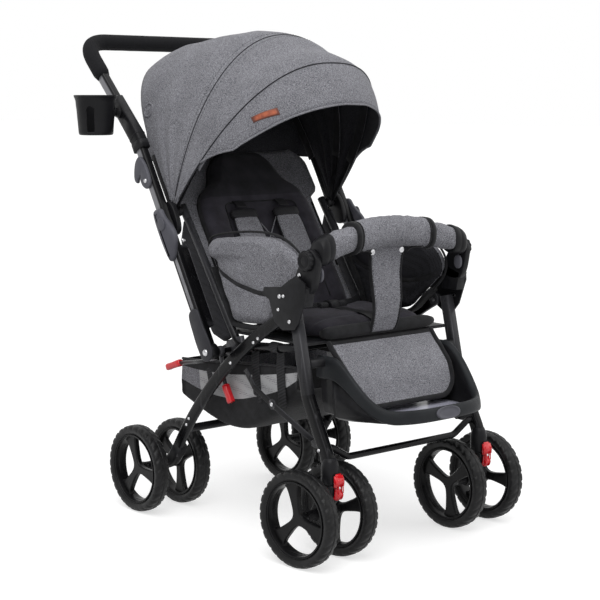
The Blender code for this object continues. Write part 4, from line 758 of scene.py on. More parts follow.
def star(form, mark=0):
    """Three broad spokes as a plate with rounded windows."""
    rims = [2 * pi * k / 96 for k in range(96)]
    layers = [(0.0, 0.0), (0.0, 0.0036), (0.0009, 0.0052), (0.0026, 0.0060)]
    for _, side in SIDES:
        for (grow_a, depth_a), (grow_b, depth_b) in zip(layers, layers[1:]):
            for spoke in range(3):
                rows = [[Vector((side * depth, y, z)) for y, z in window(spoke, grow)]
                        for grow, depth in ((grow_a, depth_a), (grow_b, depth_b))]
                form.skin(rows, wrap=True, mark=mark)
        bm = bmesh.new()
        loops = [[(0.0668 * sin(a), 0.0668 * cos(a)) for a in rims]]
        loops += [window(spoke, layers[-1][0]) for spoke in range(3)]
        edges = []
        for loop in loops:
            verts = [bm.verts.new((side * layers[-1][1], y, z)) for y, z in loop]
            edges += [bm.edges.new((verts[i - 1], verts[i])) for i in range(len(verts))]
        bmesh.ops.triangle_fill(bm, edges=edges, use_beauty=True)
        bm.verts.index_update()
        base = len(form.points)
        form.points += [v.co.copy() for v in bm.verts]
        for face in bm.faces:
            form.faces.append(tuple(base + v.index for v in face.verts))
            form.marks.append(mark)
        bm.free()


def rim_mesh(boss):
    """Barrel and spokes, with a boss on the side of the fork."""
    form = Form()
    side = [(0.0150, 0.0714), (0.0156, 0.0708), (0.0154, 0.0699), (0.0146, 0.0694), (0.0138, 0.0693),
            (0.0140, 0.0684), (0.0136, 0.0674), (0.0124, 0.0668), (0.0060, 0.0660), (0.0, 0.0657)]
    profile = [(-x, r) for x, r in side] + [(x, r) for x, r in reversed(side[:-1])]
    form.lathe(profile, (0, 0, 0), X_AXIS, 96, ring=True)
    star(form)
    hub = [(0.0168, TIP), (0.0166, 0.0080), (0.0158, 0.0100), (0.0140, 0.0108), (0.0040, 0.0122)]
    form.lathe(hub, (0, 0, 0), (boss, 0, 0), 40)
    return form


def wheels():
    tyre, rims = tyre_mesh(), {-1: rim_mesh(1), 1: rim_mesh(-1)}
    for end in ENDS:
        for side_name, side in SIDES:
            turn = CASTER_TURN if (end, side) == ("front", -1) else 0.0
            if end == "rear":
                middle = Vector((side * TRACK / 2, REAR_AXLE_Y, WHEEL_RADIUS))
            else:
                trail = Matrix.Rotation(turn, 3, "Z") @ Vector((0, CASTER_TRAIL, 0))
                middle = Vector((side * TRACK / 2, SWIVEL_Y, WHEEL_RADIUS)) + trail
            for place, outward in (("outer", side), ("inner", -side)):
                key = f"{end}_{side_name}_{place}"
                spin = Matrix.Rotation(turn, 4, "Z") @ Matrix.Rotation(-radians(PHASES[key]), 4, "X")
                centre = middle + Matrix.Rotation(turn, 3, "Z") @ Vector((outward * PAIR_SPACING / 2, 0, 0))
                for form, look, kind in ((tyre, RUBBER, "tyre"), (rims[outward], SATIN, "rim")):
                    made = form.item(f"{kind}_dress_{key}", None, [look], smooth_angle=38)
                    made.matrix_world = Matrix.Translation(centre) @ spin
                    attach(made, "wheel_" + key)
                    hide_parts(f"{kind}_{key}")


# Canopy

def bow_point(angle, reach, half_width, power, t):
    c, s = cos(t), sin(t)
    size = (abs(c) ** power + abs(s) ** power) ** (1 / power)
    a = radians(angle)
    r = reach * s / size
    return Vector((-half_width * c / size, CANOPY.y - r * cos(a), CANOPY.z + r * sin(a)))


# Angle, reach and squareness of the cover at the front, middle and rear
FRONT_AT, MIDDLE_AT, REAR_AT = 50.4, 74.3, 121.7
STOPS = ((FRONT_AT, 0.380, 2.4), (MIDDLE_AT, 0.365, 2.2), (REAR_AT, 0.365, 3.5))


def canopy_arch(angle):
    for low, high in zip(STOPS, STOPS[1:]):
        if angle <= high[0]:
            share = (angle - low[0]) / (high[0] - low[0])
            return low[1] + (high[1] - low[1]) * share, low[2] + (high[2] - low[2]) * share, share
    return STOPS[-1][1], STOPS[-1][2], 1.0


def cover_point(angle, t, depth=0.0):
    """Point of the cloth between the bows, a little slack between them."""
    reach, power, share = canopy_arch(angle)
    high = sin(t)
    loose = sin(pi * clamp(share))
    slack = 0.0095 * loose ** 3 * (0.35 + 0.65 * high)
    pleat = 0.0030 * sin(radians(angle) * 26 + 2.2 * cos(t)) * (1 - high) ** 0.8
    fold = 0.0040 * bell((angle - 58 - 5 * (1 - high)) / 3.2) * (1 - high ** 3)
    point = bow_point(angle, reach - slack - depth, CANOPY_HALF_WIDTH - depth, power, t)
    out = (point - CANOPY).normalized()
    long_way = Vector((point.x * 2.2, point.y, point.z * 0.7))
    wrinkle = (0.0034 * ripple(long_way, 0.07, 1) + 0.0018 * ripple(point, 0.035)
               + 0.0007 * ripple(point, 0.016, 4))
    return point + out * (wrinkle + pleat + fold) * loose ** 2


VISOR_EDGE = (35.98, 0.3634, 0.2026, 2.25)
COLUMNS = 72
ARCH = [0.045 + (pi - 0.09) * k / COLUMNS for k in range(COLUMNS + 1)]


def visor_point(k, share, first, last):
    """Point of the peak: from the front bow out to the edge of the visor."""
    start = cover_point(FRONT_AT, ARCH[k])
    s = (k - first) / (last - first)
    swell = min(max(sin(pi * s), 0) ** 0.2, 9 * s, 9 * (1 - s))
    target = bow_point(*VISOR_EDGE, ARCH[k])
    out = (start - CANOPY).normalized()
    point = start.lerp(target, share * swell)
    return point + out * (0.004 * sin(pi * share) + 0.0016 * ripple(point, 0.04, 8) * share) * swell


def wide_part(angle, least):
    """First and last column where the cover's edge lies further out than least."""
    inside = [k for k, t in enumerate(ARCH) if (cover_point(angle, t) - CANOPY).yz.length > least]
    return inside[0], inside[-1]


def visor_span():
    return wide_part(FRONT_AT, 0.130)


def curtain_span():
    return wide_part(REAR_AT, CURTAIN_HEM)


def curtain_point(k, share, *_):
    """Point of the rear curtain, which hangs straight down behind the headrest."""
    start = cover_point(REAR_AT, ARCH[k])
    a = radians(REAR_AT)
    up = Vector((0, -cos(a), sin(a)))
    place = start - up * ((start - CANOPY).yz.length - CURTAIN_HEM) * share
    place.x *= 1 - 0.035 * share
    place.y = max(place.y, min(CANOPY.y + 0.100, start.y))
    out = Vector((0, sin(a), cos(a)))
    flat = sin(pi * share) * (1 - (place.x / CANOPY_HALF_WIDTH) ** 4)
    return place + out * (0.004 * flat + 0.0022 * ripple(place, 0.05, 7) * min(share * 4, 1))


def canopy():
    form = Form()
    angles = []
    for low, high, steps in ((REAR_AT, MIDDLE_AT, 26), (MIDDLE_AT, FRONT_AT, 18)):
        angles += [low + (high - low) * k / steps for k in range(steps)]
    angles.append(FRONT_AT)
    form.skin([[cover_point(angle, t) for t in ARCH] for angle in angles])
    for span, point in ((visor_span, visor_point), (curtain_span, curtain_point)):
        first, last = span()
        form.skin([[point(k, share / 10, first, last) for k in range(first, last + 1)]
                   for share in range(11)])
    made = form.item("canopy_fabric", None, [CLOTH, SHADED_LINING_AND_SEAMS], closed=False)
    bm = bmesh.new()
    bm.from_mesh(made.data)
    bmesh.ops.remove_doubles(bm, verts=bm.verts, dist=0.00005)
    bm.normal_update()
    for face in bm.faces:
        if face.normal.dot(face.calc_center_median() - CANOPY_MIDDLE) < 0:
            face.normal_flip()
    area = sum(f.calc_area() for f in bm.faces)
    bm.to_mesh(made.data)
    bm.free()
    # The inner side takes the darker melange, which is painted shade on the same grey cloth.
    thicken(made, CLOTH_THICK, 1)
    settle(made)
    made.data.shade_smooth()
    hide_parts("canopy_cover")
    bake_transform(made)
    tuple(FOLD_START)
    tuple(FOLD_END)
    trims = [canopy_seams(), visor_hem(), curtain_hem(), button()]
    bow_sleeves()
    tag()


def fold_with_canopy(made):
    made.parent = None
    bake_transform(made)
    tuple(FOLD_START)
    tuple(FOLD_END)
    return made


def canopy_seams():
    """Thin dark seams beside the bows, the binding of the rear edges and the stitching."""
    form = Form()
    for angle, size in ((MIDDLE_AT, 0.0011), (FRONT_AT, 0.0013)):
        path = [cover_point(angle, t, -0.0005) for t in ARCH[1:-1]]
        form.sweep(path, size, size, 6, side=(0, 1, 0), mark=1)
    for angle in (76.6, 72.0):
        path = [cover_point(angle, t, -0.0003) for t in ARCH[2:-2]]
        form.stitches(path, lambda p: p - CANOPY, 0.00035, 0.004, 0.003, mark=1)
    first, last = curtain_span()
    for edge in (ARCH[:first + 1], ARCH[last:]):
        form.sweep([cover_point(REAR_AT, t) for t in edge], 0.0060, 0.0026, 10, side=(0, 1, 0))
    for end in (ARCH[0], ARCH[-1]):
        form.sweep([cover_point(FRONT_AT + (REAR_AT - FRONT_AT) * k / 30, end) for k in range(31)], 0.0022,
                   0.0034, 8)
    return fold_with_canopy(form.item("canopy_seams", None, [TRIM, SHADED_LINING_AND_SEAMS]))


def visor_hem():
    first, last = visor_span()
    form = Form()
    path = [visor_point(k, 1.0, first, last) for k in range(first, last + 1)]
    form.sweep(spline(path, 2), 0.0026, 0.0018, 10, side=(0, 1, 0), bulge=lambda p: 0.12 * ripple(p, 0.02))
    path = [visor_point(k, 0.93, first, last) for k in range(first + 3, last - 2)]
    form.stitches(path, lambda p: p - CANOPY, 0.00035, 0.004, 0.003)
    return fold_with_canopy(form.item("visor_hem", None, [CLOTH]))


def curtain_hem():
    low, high = curtain_span()
    form = Form()
    path = [curtain_point(k, 1.0) for k in range(low, high + 1)]
    form.sweep(path, 0.003, 0.0022, 8, side=(0, 1, 0))
    return fold_with_canopy(form.item("curtain_hem", None, [TRIM]))


def button():
    """Round gathered patch low on the rear of the cover."""
    form = Form()
    centre = cover_point(116.0, 0.58)
    out = (cover_point(116.0, 0.62) - centre).cross(cover_point(114.0, 0.58) - centre).normalized()
    if out.dot(centre - CANOPY) < 0:
        out = -out
    profile = [(-0.003, 0.0155), (0.0010, 0.0155), (0.0026, 0.0142), (0.0020, 0.0126), (0.0002, 0.0112),
               (0.0004, 0.0080), (0.0018, 0.0040), (0.0020, TIP)]
    form.lathe(profile, centre, out, 36)
    return fold_with_canopy(form.item("canopy_button", None, [CLOTH]))


def bow_sleeves():
    """Tape sleeves that hold the bows inside the cover, grey on their outer faces."""
    for name, angle, body, depth, wide in (("front", 53.8, "bow_front", 0.0062, 0.012),
                                           ("middle", MIDDLE_AT, "bow_middle", 0.0098, 0.011),
                                           ("rear", 118.3, "frame", 0.0134, 0.010)):
        reach, power, _ = canopy_arch(angle)
        flat = Vector((0, sin(radians(angle)), cos(radians(angle))))
        ring = oval(12, 2.6)
        rows = []
        for t in ARCH[6:-6]:
            p, q = (bow_point(angle, reach - depth, CANOPY_HALF_WIDTH - depth, power, at)
                    for at in (t, t + 0.01))
            out = (q - p).normalized().cross(flat)
            rows.append([p + flat * wide * i + out * SLEEVE_THICK * j for i, j in ring])
        form = Form()
        form.loft(rows, mark=lambda i, j: int(ring[j][1] > 0.2))
        form.item("bow_sleeve_" + name, body, [TRIM, CLOTH])


def tag():
    """Plain leather patch sewn on the peak."""
    first, last = visor_span()
    form = Form()

    def patch(u, v, lift):
        k = 16.4 + 4.2 * u
        low = int(k)
        share = 0.655 - 0.19 * v + 0.18 * u
        a, b = visor_point(low, share, first, last), visor_point(low + 1, share, first, last)
        point = a.lerp(b, k - low)
        return point + (point - CANOPY).normalized() * lift

    steps = 12
    for lift, edge in ((0.0009, 1.0), (0.0016, 0.93)):
        rows = [[patch(0.5 + (i / steps - 0.5) * edge, 0.5 + (j / 4 - 0.5) * edge, lift)
                 for i in range(steps + 1)] for j in range(5)]
        form.skin(rows)
    made = form.item("canopy_tag", None, [LEATHER], closed=False)
    thicken(made, 0.0008, 0, 0.0)
    settle(made)
    fold_with_canopy(made)


# Seat

def seat_cushion():
    form = Form()
    middle, half_y, half_x = (SEAT_FRONT_Y + SEAT_REAR_Y) / 2, (SEAT_REAR_Y - SEAT_FRONT_Y) / 2 - 0.003, 0.152
    layers = [(0.96, 0.001), (1.0, 0.006), (1.0, 0.018), (0.96, 0.025), (0.82, 0.029), (0.5, 0.031)]
    rows = [[Vector((half_x * scale * a, middle + half_y * scale * b, CUSHION_Z + high))
             for a, b in oval(48, 4.6)] for scale, high in layers]
    form.loft(rows)
    made = form.item("seat_pad", "frame", [LINER], "seat_cushion")
    stuff(made, 0.006, 0.006)
    for vertex in made.data.vertices:
        x, y, z = vertex.co
        if z > CUSHION_Z + 0.016:
            vertex.co.z -= 0.0035 * bell((y + 0.195) / 0.0045)
            vertex.co.z += 0.0012 * ripple(vertex.co, 0.05, 3)
        vertex.co.z = max(vertex.co.z, CUSHION_Z + 0.0004)
    finer(made)
    roll = Form()
    path = [Vector((x, -0.2375, CUSHION_Z + 0.012)) for x in [-0.146 + 0.292 * k / 24 for k in range(25)]]
    roll.sweep(path, 0.0145, 0.0125, 18, side=(0, 1, 0), bulge=lambda p: 0.05 * ripple(p, 0.03),
               scale=lambda t: 0.55 + 0.45 * min(1, sin(pi * t) * 5))
    edge = roll.item("seat_front_roll", "frame", [TRIM])


BACK_LEAN = rake(32.4)
BACK_OUT = square_to(BACK_LEAN)


BACK_LENGTH = BACK_OUTLINE[-1][0]
BACK_UNDERSIDE = -0.011
NECK = 0.262
SHOULDER = 0.270
RECESS_HALF = 0.0945


def back_at(x, along, out):
    """Point on the backrest: along its length from the seat, out from its front face's base."""
    return BACK_FOOT + BACK_LEAN * along + BACK_OUT * out + Vector((x, 0, 0))


def back_half(along):
    """Half width of the liner at a distance up the backrest: wide body, shoulders and a dome."""
    for (low, first), (high, second) in zip(BACK_OUTLINE, BACK_OUTLINE[1:]):
        if along <= high:
            return first + (second - first) * (along - low) / (high - low)
    return BACK_OUTLINE[-1][1]


def recess(x, along):
    """Distance from the middle of the sunk part, 1 at its rounded border."""
    return ((abs(x) / RECESS_HALF) ** 6 + (max(along - 0.10, 0) / 0.1512) ** 6) ** (1 / 6)


def back_surface(x, along):
    """Height of the liner's face above its base."""
    edge = min(back_half(along) - abs(x), along, BACK_LENGTH - along)
    body = clamp(edge / 0.020) ** 0.5
    raised = 1 / (1 + exp(-(recess(x, along) - 1.0) * 16))
    seam = bell((recess(x, along) - 1.0) / 0.045)
    neck = bell((along - NECK) / 0.006)
    height = 0.004 + body * (0.0075 + 0.0105 * raised) - (0.0035 * seam + 0.003 * neck * raised) * body
    return height + 0.0014 * ripple((x, along, 0), 0.05, 2) * body


def backrest():
    """Liner with a bolster that arches over a sunk middle, a darker headrest and a cloth shell behind."""
    count_u, count_v = 56, 96
    rows = []
    for j in range(count_v + 1):
        along = BACK_LENGTH * (0.5 - 0.5 * cos(pi * j / count_v))
        half = max(back_half(along), 0.0008)
        rows.append([(half * sin(pi / 2 * (-1 + 2 * i / count_u)), along) for i in range(count_u + 1)])
    form = Form()
    form.skin([[back_at(x, along, back_surface(x, along)) for x, along in row] for row in rows],
              mark=lambda i, j: 1 if rows[i][0][1] > NECK else 0)
    form.skin([[back_at(x, along, BACK_UNDERSIDE) for x, along in row] for row in rows], flip=True)
    border = ([row[0] for row in rows] + rows[-1][1:] + [row[-1] for row in reversed(rows[:-1])]
              + list(reversed(rows[0][1:-1])))
    form.skin([[back_at(x, along, back_surface(x, along)) for x, along in border],
               [back_at(x, along, BACK_UNDERSIDE) for x, along in border]], wrap=True, mark=1)
    made = form.item("back_liner", "back", [LINER, HEADREST], "backrest")
    weld(made)
    made.data.shade_smooth()
    shell = Form()
    rows = []
    for j in range(37):
        along = 0.004 + 0.381 * j / 36
        half = 0.1765 + 0.0185 * clamp((along - SHOULDER) / 0.012)
        half -= 0.034 * max((along - 0.345) / 0.040, 0) ** 2
        row = []
        for i in range(33):
            x = half * (-1 + 2 * i / 32)
            curl = 0.006 * (abs(x) / half) ** 8 * clamp((along - SHOULDER) / 0.012)
            row.append(back_at(x, along, -0.0128 + curl + 0.0012 * ripple((x, along, 1), 0.05, 5)))
        rows.append(row)
    shell.skin(rows)
    panel = shell.item("back_panel", "back", [CLOTH], closed=False)
    thicken(panel, CLOTH_THICK)
    piping = Form()
    arch = [(RECESS_HALF, 0.020 + 0.200 * k / 10) for k in range(10)]
    arch += [(RECESS_HALF * cos(a) ** 0.4, 0.220 + 0.0312 * sin(a) ** 0.4)
             for a in [pi / 2 * k / 16 for k in range(16)]]
    arch += [(0.0, 0.2512)] + [(-x, along) for x, along in reversed(arch)]
    piping.sweep([back_at(x, along, back_surface(x, along) + 0.0008) for x, along in arch], 0.0016, 0.0016, 8,
                 side=BACK_OUT)
    for _, side in SIDES:
        piping.sweep([back_at(side * 0.172, 0.10 + 0.155 * k / 20, -0.0108) for k in range(21)], 0.0020,
                     0.0020, 8, side=BACK_OUT)
    piping.item("back_piping", "back", [TRIM])


PAD_HALF = 0.0325


def harness():
    """Shoulder pads on their webbing, thin cords between them, the waist straps and the buckle."""
    low, high = 0.1055, 0.2255
    middle = (low + high) / 2
    for name, side in SIDES:
        form = Form()
        x = side * 0.056
        layers = [(0.88, 0.0), (1.0, 0.25), (1.0, 0.7), (0.92, 1.0), (0.62, 1.15)]
        rows = []
        for scale, share in layers:
            rows.append([back_at(x + PAD_HALF * scale * a,
                                 middle + (high - low) / 2 * scale ** 0.5 * b * 0.98, 0.0175 + 0.010 * share)
                         for a, b in oval(40, 3.6)])
        form.loft(rows)
        made = form.item("shoulder_pad_dress_" + name, "back", [CLOTH], "shoulder_pad_" + name)
        finer(made)
        cap = Form()
        rows = []
        for scale, share in [(0.94, 0.0), (1.03, 0.25), (1.03, 0.8), (0.95, 1.1), (0.6, 1.24)]:
            rows.append([back_at(x + PAD_HALF * scale * a, high - 0.008 + 0.011 * scale * b,
                                 0.0172 + 0.010 * share) for a, b in oval(28, 4.0)])
        cap.loft(rows)
        edge = [back_at(x + 0.0333 * a, middle + (high - low) / 2 * b, 0.0235) for a, b in oval(44, 3.6)]
        cap.sweep(edge + edge[:1], 0.0015, 0.0015, 6, side=BACK_OUT)
        path = [back_at(x, 0.256, 0.010), back_at(x, 0.250, 0.0185), back_at(x, 0.232, 0.0265)]
        cap.ribbon(spline(path, 5), X_AXIS, 0.026, WEB_THICK)
        path = [back_at(x * 0.96, 0.112, 0.0225), back_at(x * 0.80, 0.085, 0.018),
                back_at(x * 0.55, 0.055, 0.018), back_at(x * 0.40, 0.030, 0.022)]
        cap.ribbon(spline(path, 5), X_AXIS, 0.024, WEB_THICK)
        cap.item("shoulder_strap_" + name, "back", [WEB])
        waist = Form()
        path = [(side * 0.142, -0.030, CUSHION_Z + 0.040), (side * 0.118, -0.052, CUSHION_Z + 0.038),
                (side * 0.070, -0.085, CUSHION_Z + 0.037), (side * 0.026, -0.102, CUSHION_Z + 0.038)]
        waist.ribbon(spline(path, 6), (0, 0.25, 1), 0.022, WEB_THICK)
        waist.prism(soft_outline([(-0.108, CUSHION_Z + 0.030), (-0.094, CUSHION_Z + 0.030),
                                  (-0.092, CUSHION_Z + 0.046), (-0.110, CUSHION_Z + 0.046)], 3), side * 0.014,
                    side * 0.034)
        waist.item("waist_strap_" + name, "frame", [WEB])
    cords = Form()
    for _, side in SIDES:
        path = [back_at(side * 0.030, 0.214, 0.0225), back_at(side * 0.008, 0.182, 0.0165),
                back_at(-side * 0.010, 0.158, 0.0165 + 0.0012 * side), back_at(-side * 0.030, 0.124, 0.0225)]
        cords.sweep(spline(path, 6), 0.0013, 0.0013, 8)
    cords.item("harness_cords", "back", [CLOTH])
    buckle = Form()
    outline = soft_outline([(-0.116, CUSHION_Z + 0.028), (-0.088, CUSHION_Z + 0.028),
                            (-0.084, CUSHION_Z + 0.040), (-0.092, CUSHION_Z + 0.050),
                            (-0.112, CUSHION_Z + 0.050), (-0.120, CUSHION_Z + 0.040)], 4)
    buckle.prism(outline, -0.013, 0.013, 0.003)
    path = [(0, -0.235, CUSHION_Z + 0.026), (0, -0.200, CUSHION_Z + 0.036), (0, -0.155, CUSHION_Z + 0.037),
            (0, -0.118, CUSHION_Z + 0.039)]
    buckle.ribbon(spline(path, 6), X_AXIS, 0.026, WEB_THICK)
    buckle.item("harness_buckle", "frame", [PLASTIC])


WING = ((0.058, 0.573), (0.020, 0.586), (-0.083, 0.597), (-0.160, 0.592), (-0.214, 0.566), (-0.244, 0.530),
        (-0.236, 0.492), (-0.190, 0.450), (-0.150, 0.418), (-0.100, 0.410), (-0.030, 0.409), (-0.012, 0.425),
        (0.010, 0.465), (0.042, 0.516), (0.060, 0.548))
SEAM_HALF = 0.0048


def wing(name, side):
    """Padded seat side: a fat roll over a flatter panel, cloth outside and black mesh inside."""
    centre = (sum(y for y, _ in WING) / len(WING), sum(z for _, z in WING) / len(WING))
    outline = soft_outline(WING, 5)
    form = Form()
    outer = LEG_INNER - CLEAR
    rows = []
    for scale, share in [(0.93, 0.10), (0.965, 0.22), (0.975, 0.5), (0.965, 0.78), (0.93, 0.90)]:
        x = side * (outer - 0.020 * (1 - share))
        rows.append([Vector((x, centre[0] + (y - centre[0]) * scale, centre[1] + (z - centre[1]) * scale))
                     for y, z in outline])
    form.loft(rows)
    crest = [(0.0520, 0.550), (0.0400, 0.5535), (0.0, 0.562), (-0.050, 0.566), (-0.100, 0.564),
             (-0.140, 0.556)]
    roll_size = spline([(0.62, 0, 0), (1.0, 0, 0), (1.06, 0, 0), (1.0, 0, 0), (0.86, 0, 0), (0.55, 0, 0)], 6)
    form.sweep(spline([(side * (outer - 0.004), y, z) for y, z in crest], 6), 0.0125, 0.0195, 18,
               scale=lambda t: roll_size[int(round(t * (len(roll_size) - 1)))].x)
    made = form.item("wing_pad_" + name, "frame", [CLOTH, DARK_MESH], "side_wing_" + name)
    stuff(made, 0.005, 0.0075)
    seam = wing_seam()
    for vertex in made.data.vertices:
        x, y, z = vertex.co
        gap, above = min((hypot(y - a, z - b), z - b) for a, b in seam)
        sign = copysign(1, x - side * (outer - 0.010))
        roll = clamp(gap / 0.030) if above > 0 else 0
        rear = clamp((y + 0.150) / 0.170)
        edge = min(max((0.058 - y) / 0.02, 0.35), 1)
        vertex.co.x -= sign * 0.0035 * bell(gap / 0.006)
        if sign == side:
            vertex.co.x += side * 0.0015 * roll * edge
        else:
            vertex.co.x -= side * 0.0045 * roll
        fold = (0.0024 * ripple((x, y * 1.4, z * 0.8), 0.045, 5 + side)
                + 0.0009 * ripple(vertex.co, 0.018, side))
        vertex.co.x += side * fold
        limit = outer + (0.0145 * rear + 0.0025 if y > -0.19 else 0.0)
        vertex.co.x = side * min(max(side * vertex.co.x, outer - 0.0300), limit)
    for face in made.data.polygons:
        if face.normal.x * side < -0.2:
            face.material_index = 1
    tree = BVHTree.FromPolygons([v.co for v in made.data.vertices], [p.vertices for p in made.data.polygons])
    finer(made)
    trim = Form()
    rim = [Vector((side * (outer - 0.0095), y, z)) for y, z in inset(outline, 0.0015)]
    trim.sweep(rim + rim[:1], 0.0026, 0.0024, 8, side=X_AXIS)
    lower = [p for p in rim if p.z < 0.520 and p.y > -0.215]
    start = max(range(len(lower)), key=lambda i: (lower[i] - lower[i - 1]).length)
    lower = lower[start:] + lower[:start]
    trim.sweep(lower, 0.0112, 0.0042, 12, 4.0)
    for face in (1, -1):
        rows = []
        for y, z in seam:
            row = []
            for across, lift in ((-1, -0.0004), (-0.8, 0.0010), (0.8, 0.0010), (1, -0.0004)):
                origin = Vector((side * (outer - 0.011 + face * 0.08), y, z + SEAM_HALF * across))
                spot = tree.ray_cast(origin, Vector((-side * face, 0, 0)))[0]
                if spot is None:
                    spot = Vector((side * outer, origin.y, origin.z))
                row.append(spot + Vector((side * face * lift, 0, 0)))
            rows.append(row)
        trim.skin(rows)
    trim.item("wing_piping_" + name, "frame", [TRIM])


def wing_seam():
    points = spline([(0.034, 0.528, 0), (-0.006, 0.505, 0), (-0.060, 0.489, 0), (-0.120, 0.481, 0),
                     (-0.180, 0.486, 0), (-0.228, 0.504, 0)], 6)
    return [(p.x, p.y) for p in points]


# Bumper bar and crotch strap

def bar_centre(x):
    share = (x / COLLAR_X1) ** 2
    return Vector((x, KNOB[0] + 0.001 - 0.010 * share, KNOB[1] + 0.012 + 0.031 * (1 - share)))


def bar_row(x, height, depth=0.90, seed=0.0, rough=0.0):
    middle = bar_centre(x)
    row = []
    for a, b in oval(36, 2.3):
        offset = Vector((0, a * depth, b)) * height / 2
        crease = rough * (ripple((x * 2.2, a * 0.03, b * 0.03), 0.02, seed)
                          + 0.5 * ripple((x, a * 0.02, b * 0.02), 0.009))
        row.append(middle + offset * (1 + crease))
    return row


def bumper():
    form = Form()
    end = COLLAR_X0 - CLEAR
    for _, side in SIDES:
        rows = []
        for k in range(37):
            x = side * (0.098 + (end - 0.098) * k / 36)
            pinch = 0.06 * bell((abs(x) - end) / 0.006) + 0.03 * bell((abs(x) - 0.098) / 0.006)
            rows.append(bar_row(x, 0.0485 * (1 - pinch), seed=side, rough=0.085))
        form.loft(rows)
    rows = []
    for k in range(71):
        x = -0.095 + 0.190 * k / 70
        rows.append(bar_row(x, 0.0585 * (1 - 0.05 * abs(x / 0.095) ** 6), seed=3, rough=0.055))
    form.loft(rows)
    made = form.item("bar_fabric", "bumper", [CLOTH], "bumper_bar")
    trim = Form()
    for x, width in ((0.0965, 0.0050), (0.0885, 0.0012)):
        for _, side in SIDES:
            rows = [bar_row(side * (x + width * w), 0.0612 * h + (0.0005 if width > 0.002 else -0.0005))
                    for w, h in ((-1, 0.93), (-0.9, 1.0), (0.9, 1.0), (1, 0.93))]
            trim.loft(rows)
    for _, side in SIDES:
        hem = [(0.094, -0.0225), (0.080, -0.0262), (0.064, -0.0290), (0.054, -0.0320), (0.0475, -0.0375)]
        path = [bar_centre(side * x) + Vector((0, -0.0125 + 0.010 * k / 4, drop))
                for k, (x, drop) in enumerate(hem)]
        trim.sweep(spline(path, 6), 0.0024, 0.0024, 8, side=(0, 1, 0))
    trim.item("bar_trim", "bumper", [TRIM])
    snaps = Form()
    for x in (-0.042, 0.038):
        spot = strap_point(x / 0.045, 0.075, -1.0) + Vector((0, -0.0006, 0))
        snaps.lathe([(-0.002, 0.0062), (0.0006, 0.0062), (0.0014, 0.0052), (0.0007, 0.0040), (0.0011, 0.0018),
                     (0.0012, TIP)], spot, (0, -1, -0.1), 24)
    snaps.item("bar_snaps", "bumper", [STEEL])
    for name, side in SIDES:
        steps = [(COLLAR_X0, 0.90), (COLLAR_X0 + 0.0012, 0.97), (COLLAR_X0 + 0.004, 1.0),
                 (COLLAR_X0 + 0.012, 0.99), (COLLAR_X0 + 0.0135, 0.965), (COLLAR_X0 + 0.016, 0.965),
                 (COLLAR_X0 + 0.0175, 0.985), (COLLAR_X1 - 0.006, 0.93), (COLLAR_X1 - 0.001, 0.84),
                 (COLLAR_X1, 0.80)]
        collar = Form()
        collar.loft([bar_row(side * x, 0.056 * h, 0.82) for x, h in steps])
        collar.item("bar_collar_dress_" + name, "bumper", [PLASTIC], "bar_collar_" + name)


def strap_point(a, t, b=0.0):
    foot = CUSHION_Z + 0.006
    y = KNOB[0] + 0.003 + 0.004 * sin(2 * pi * t) + 0.012 * t ** 4
    half = (0.092 + (0.064 - 0.092) * t ** 0.6) / 2
    top = bar_centre(half * a).z - 0.0235
    crease = 0.0022 * ripple((half * a, t * 0.2, 0), 0.03, 6) * min(t * 5, 1)
    return Vector((half * a, y + 0.0028 * b + crease - 0.0012 * (1 - a * a), top + (foot - top) * t))


def crotch_strap():
    form = Form().loft([[strap_point(a, k / 32, b) for a, b in oval(40, 4.0)] for k in range(33)])
    made = form.item("crotch_strap_fabric", None, [CLOTH])
    trim = Form()
    for _, side in SIDES:
        trim.sweep([strap_point(side, k / 32) for k in range(33)], 0.0030, 0.0034, 10, side=(1, 0, 0))
        trim.stitches([strap_point(side * 0.90, k / 32, -0.9) for k in range(33)], (0, -1, 0), 0.0003)
    edge = trim.item("crotch_strap_binding", None, [TRIM])
    for piece in (made, edge):
        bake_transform(piece)
    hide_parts("crotch_strap")


# Leg flap and footrest

def flap_point(u, t, b=0.0):
    top = Vector((0, SEAT_FRONT_Y - CLEAR - 0.0036, 0.3963))
    foot = Vector((0, -0.325, 0.280))
    middle = top.lerp(foot, t)
    middle.y -= 0.012 * sin(pi * t) ** 2
    corner = min(max(t - 0.72, 0) / 0.28, 1)
    half = 0.136 * (1 - 0.10 * t ** 2) - 0.036 * (1 - sqrt(1 - corner ** 2))
    x = half * u
    lift = 0.0034 * ripple((x, t * 0.16, 0), 0.055, 9) + 0.0012 * ripple((x, t * 0.16, 0), 0.022, 4)
    return middle + Vector((x, -0.0032 * b + lift * sin(pi * min(t * 1.1, 1)), -0.0016 * b * t))


def leg_flap():
    form = Form()
    rows = []
    count = 32
    for j in range(count + 1):
        t = sin(pi / 2 * j / count)
        row = []
        for i in range(41):
            row.append(flap_point(-1 + 2 * i / 40, t, 0.85 - 0.35 * abs(-1 + 2 * i / 40) ** 6))
        row += [flap_point(1 - 2 * i / 40, t, -0.85) for i in range(41)]
        rows.append(row)

    def mark(row, column):
        edge = column % 41
        return 1 if edge < 1 or edge > 38 or row < 1 or row >= count - 1 or column >= 40 else 0

    form.loft(rows, mark=mark)
    made = form.item("leg_flap_fabric", None, [CLOTH, TRIM])
    border = Form()
    edge = [sin(pi / 2 * k / 28) for k in range(28)]
    path = [flap_point(-1, t, 0.2) for t in edge] + [flap_point(-1 + k / 15, 1.0, 0.2) for k in range(31)]
    path += [flap_point(1, t, 0.2) for t in reversed(edge)]
    border.sweep(path, 0.0046, 0.0052, 10, side=(0, 1, 0))
    edge = border.item("leg_flap_binding", None, [TRIM])
    for piece in (made, edge):
        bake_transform(piece)
    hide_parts("leg_flap")


def rim_z(y):
    share = clamp((y + 0.405) / 0.135)
    return 0.285 + 0.089 * (3 * share ** 2 - 2 * share ** 3)


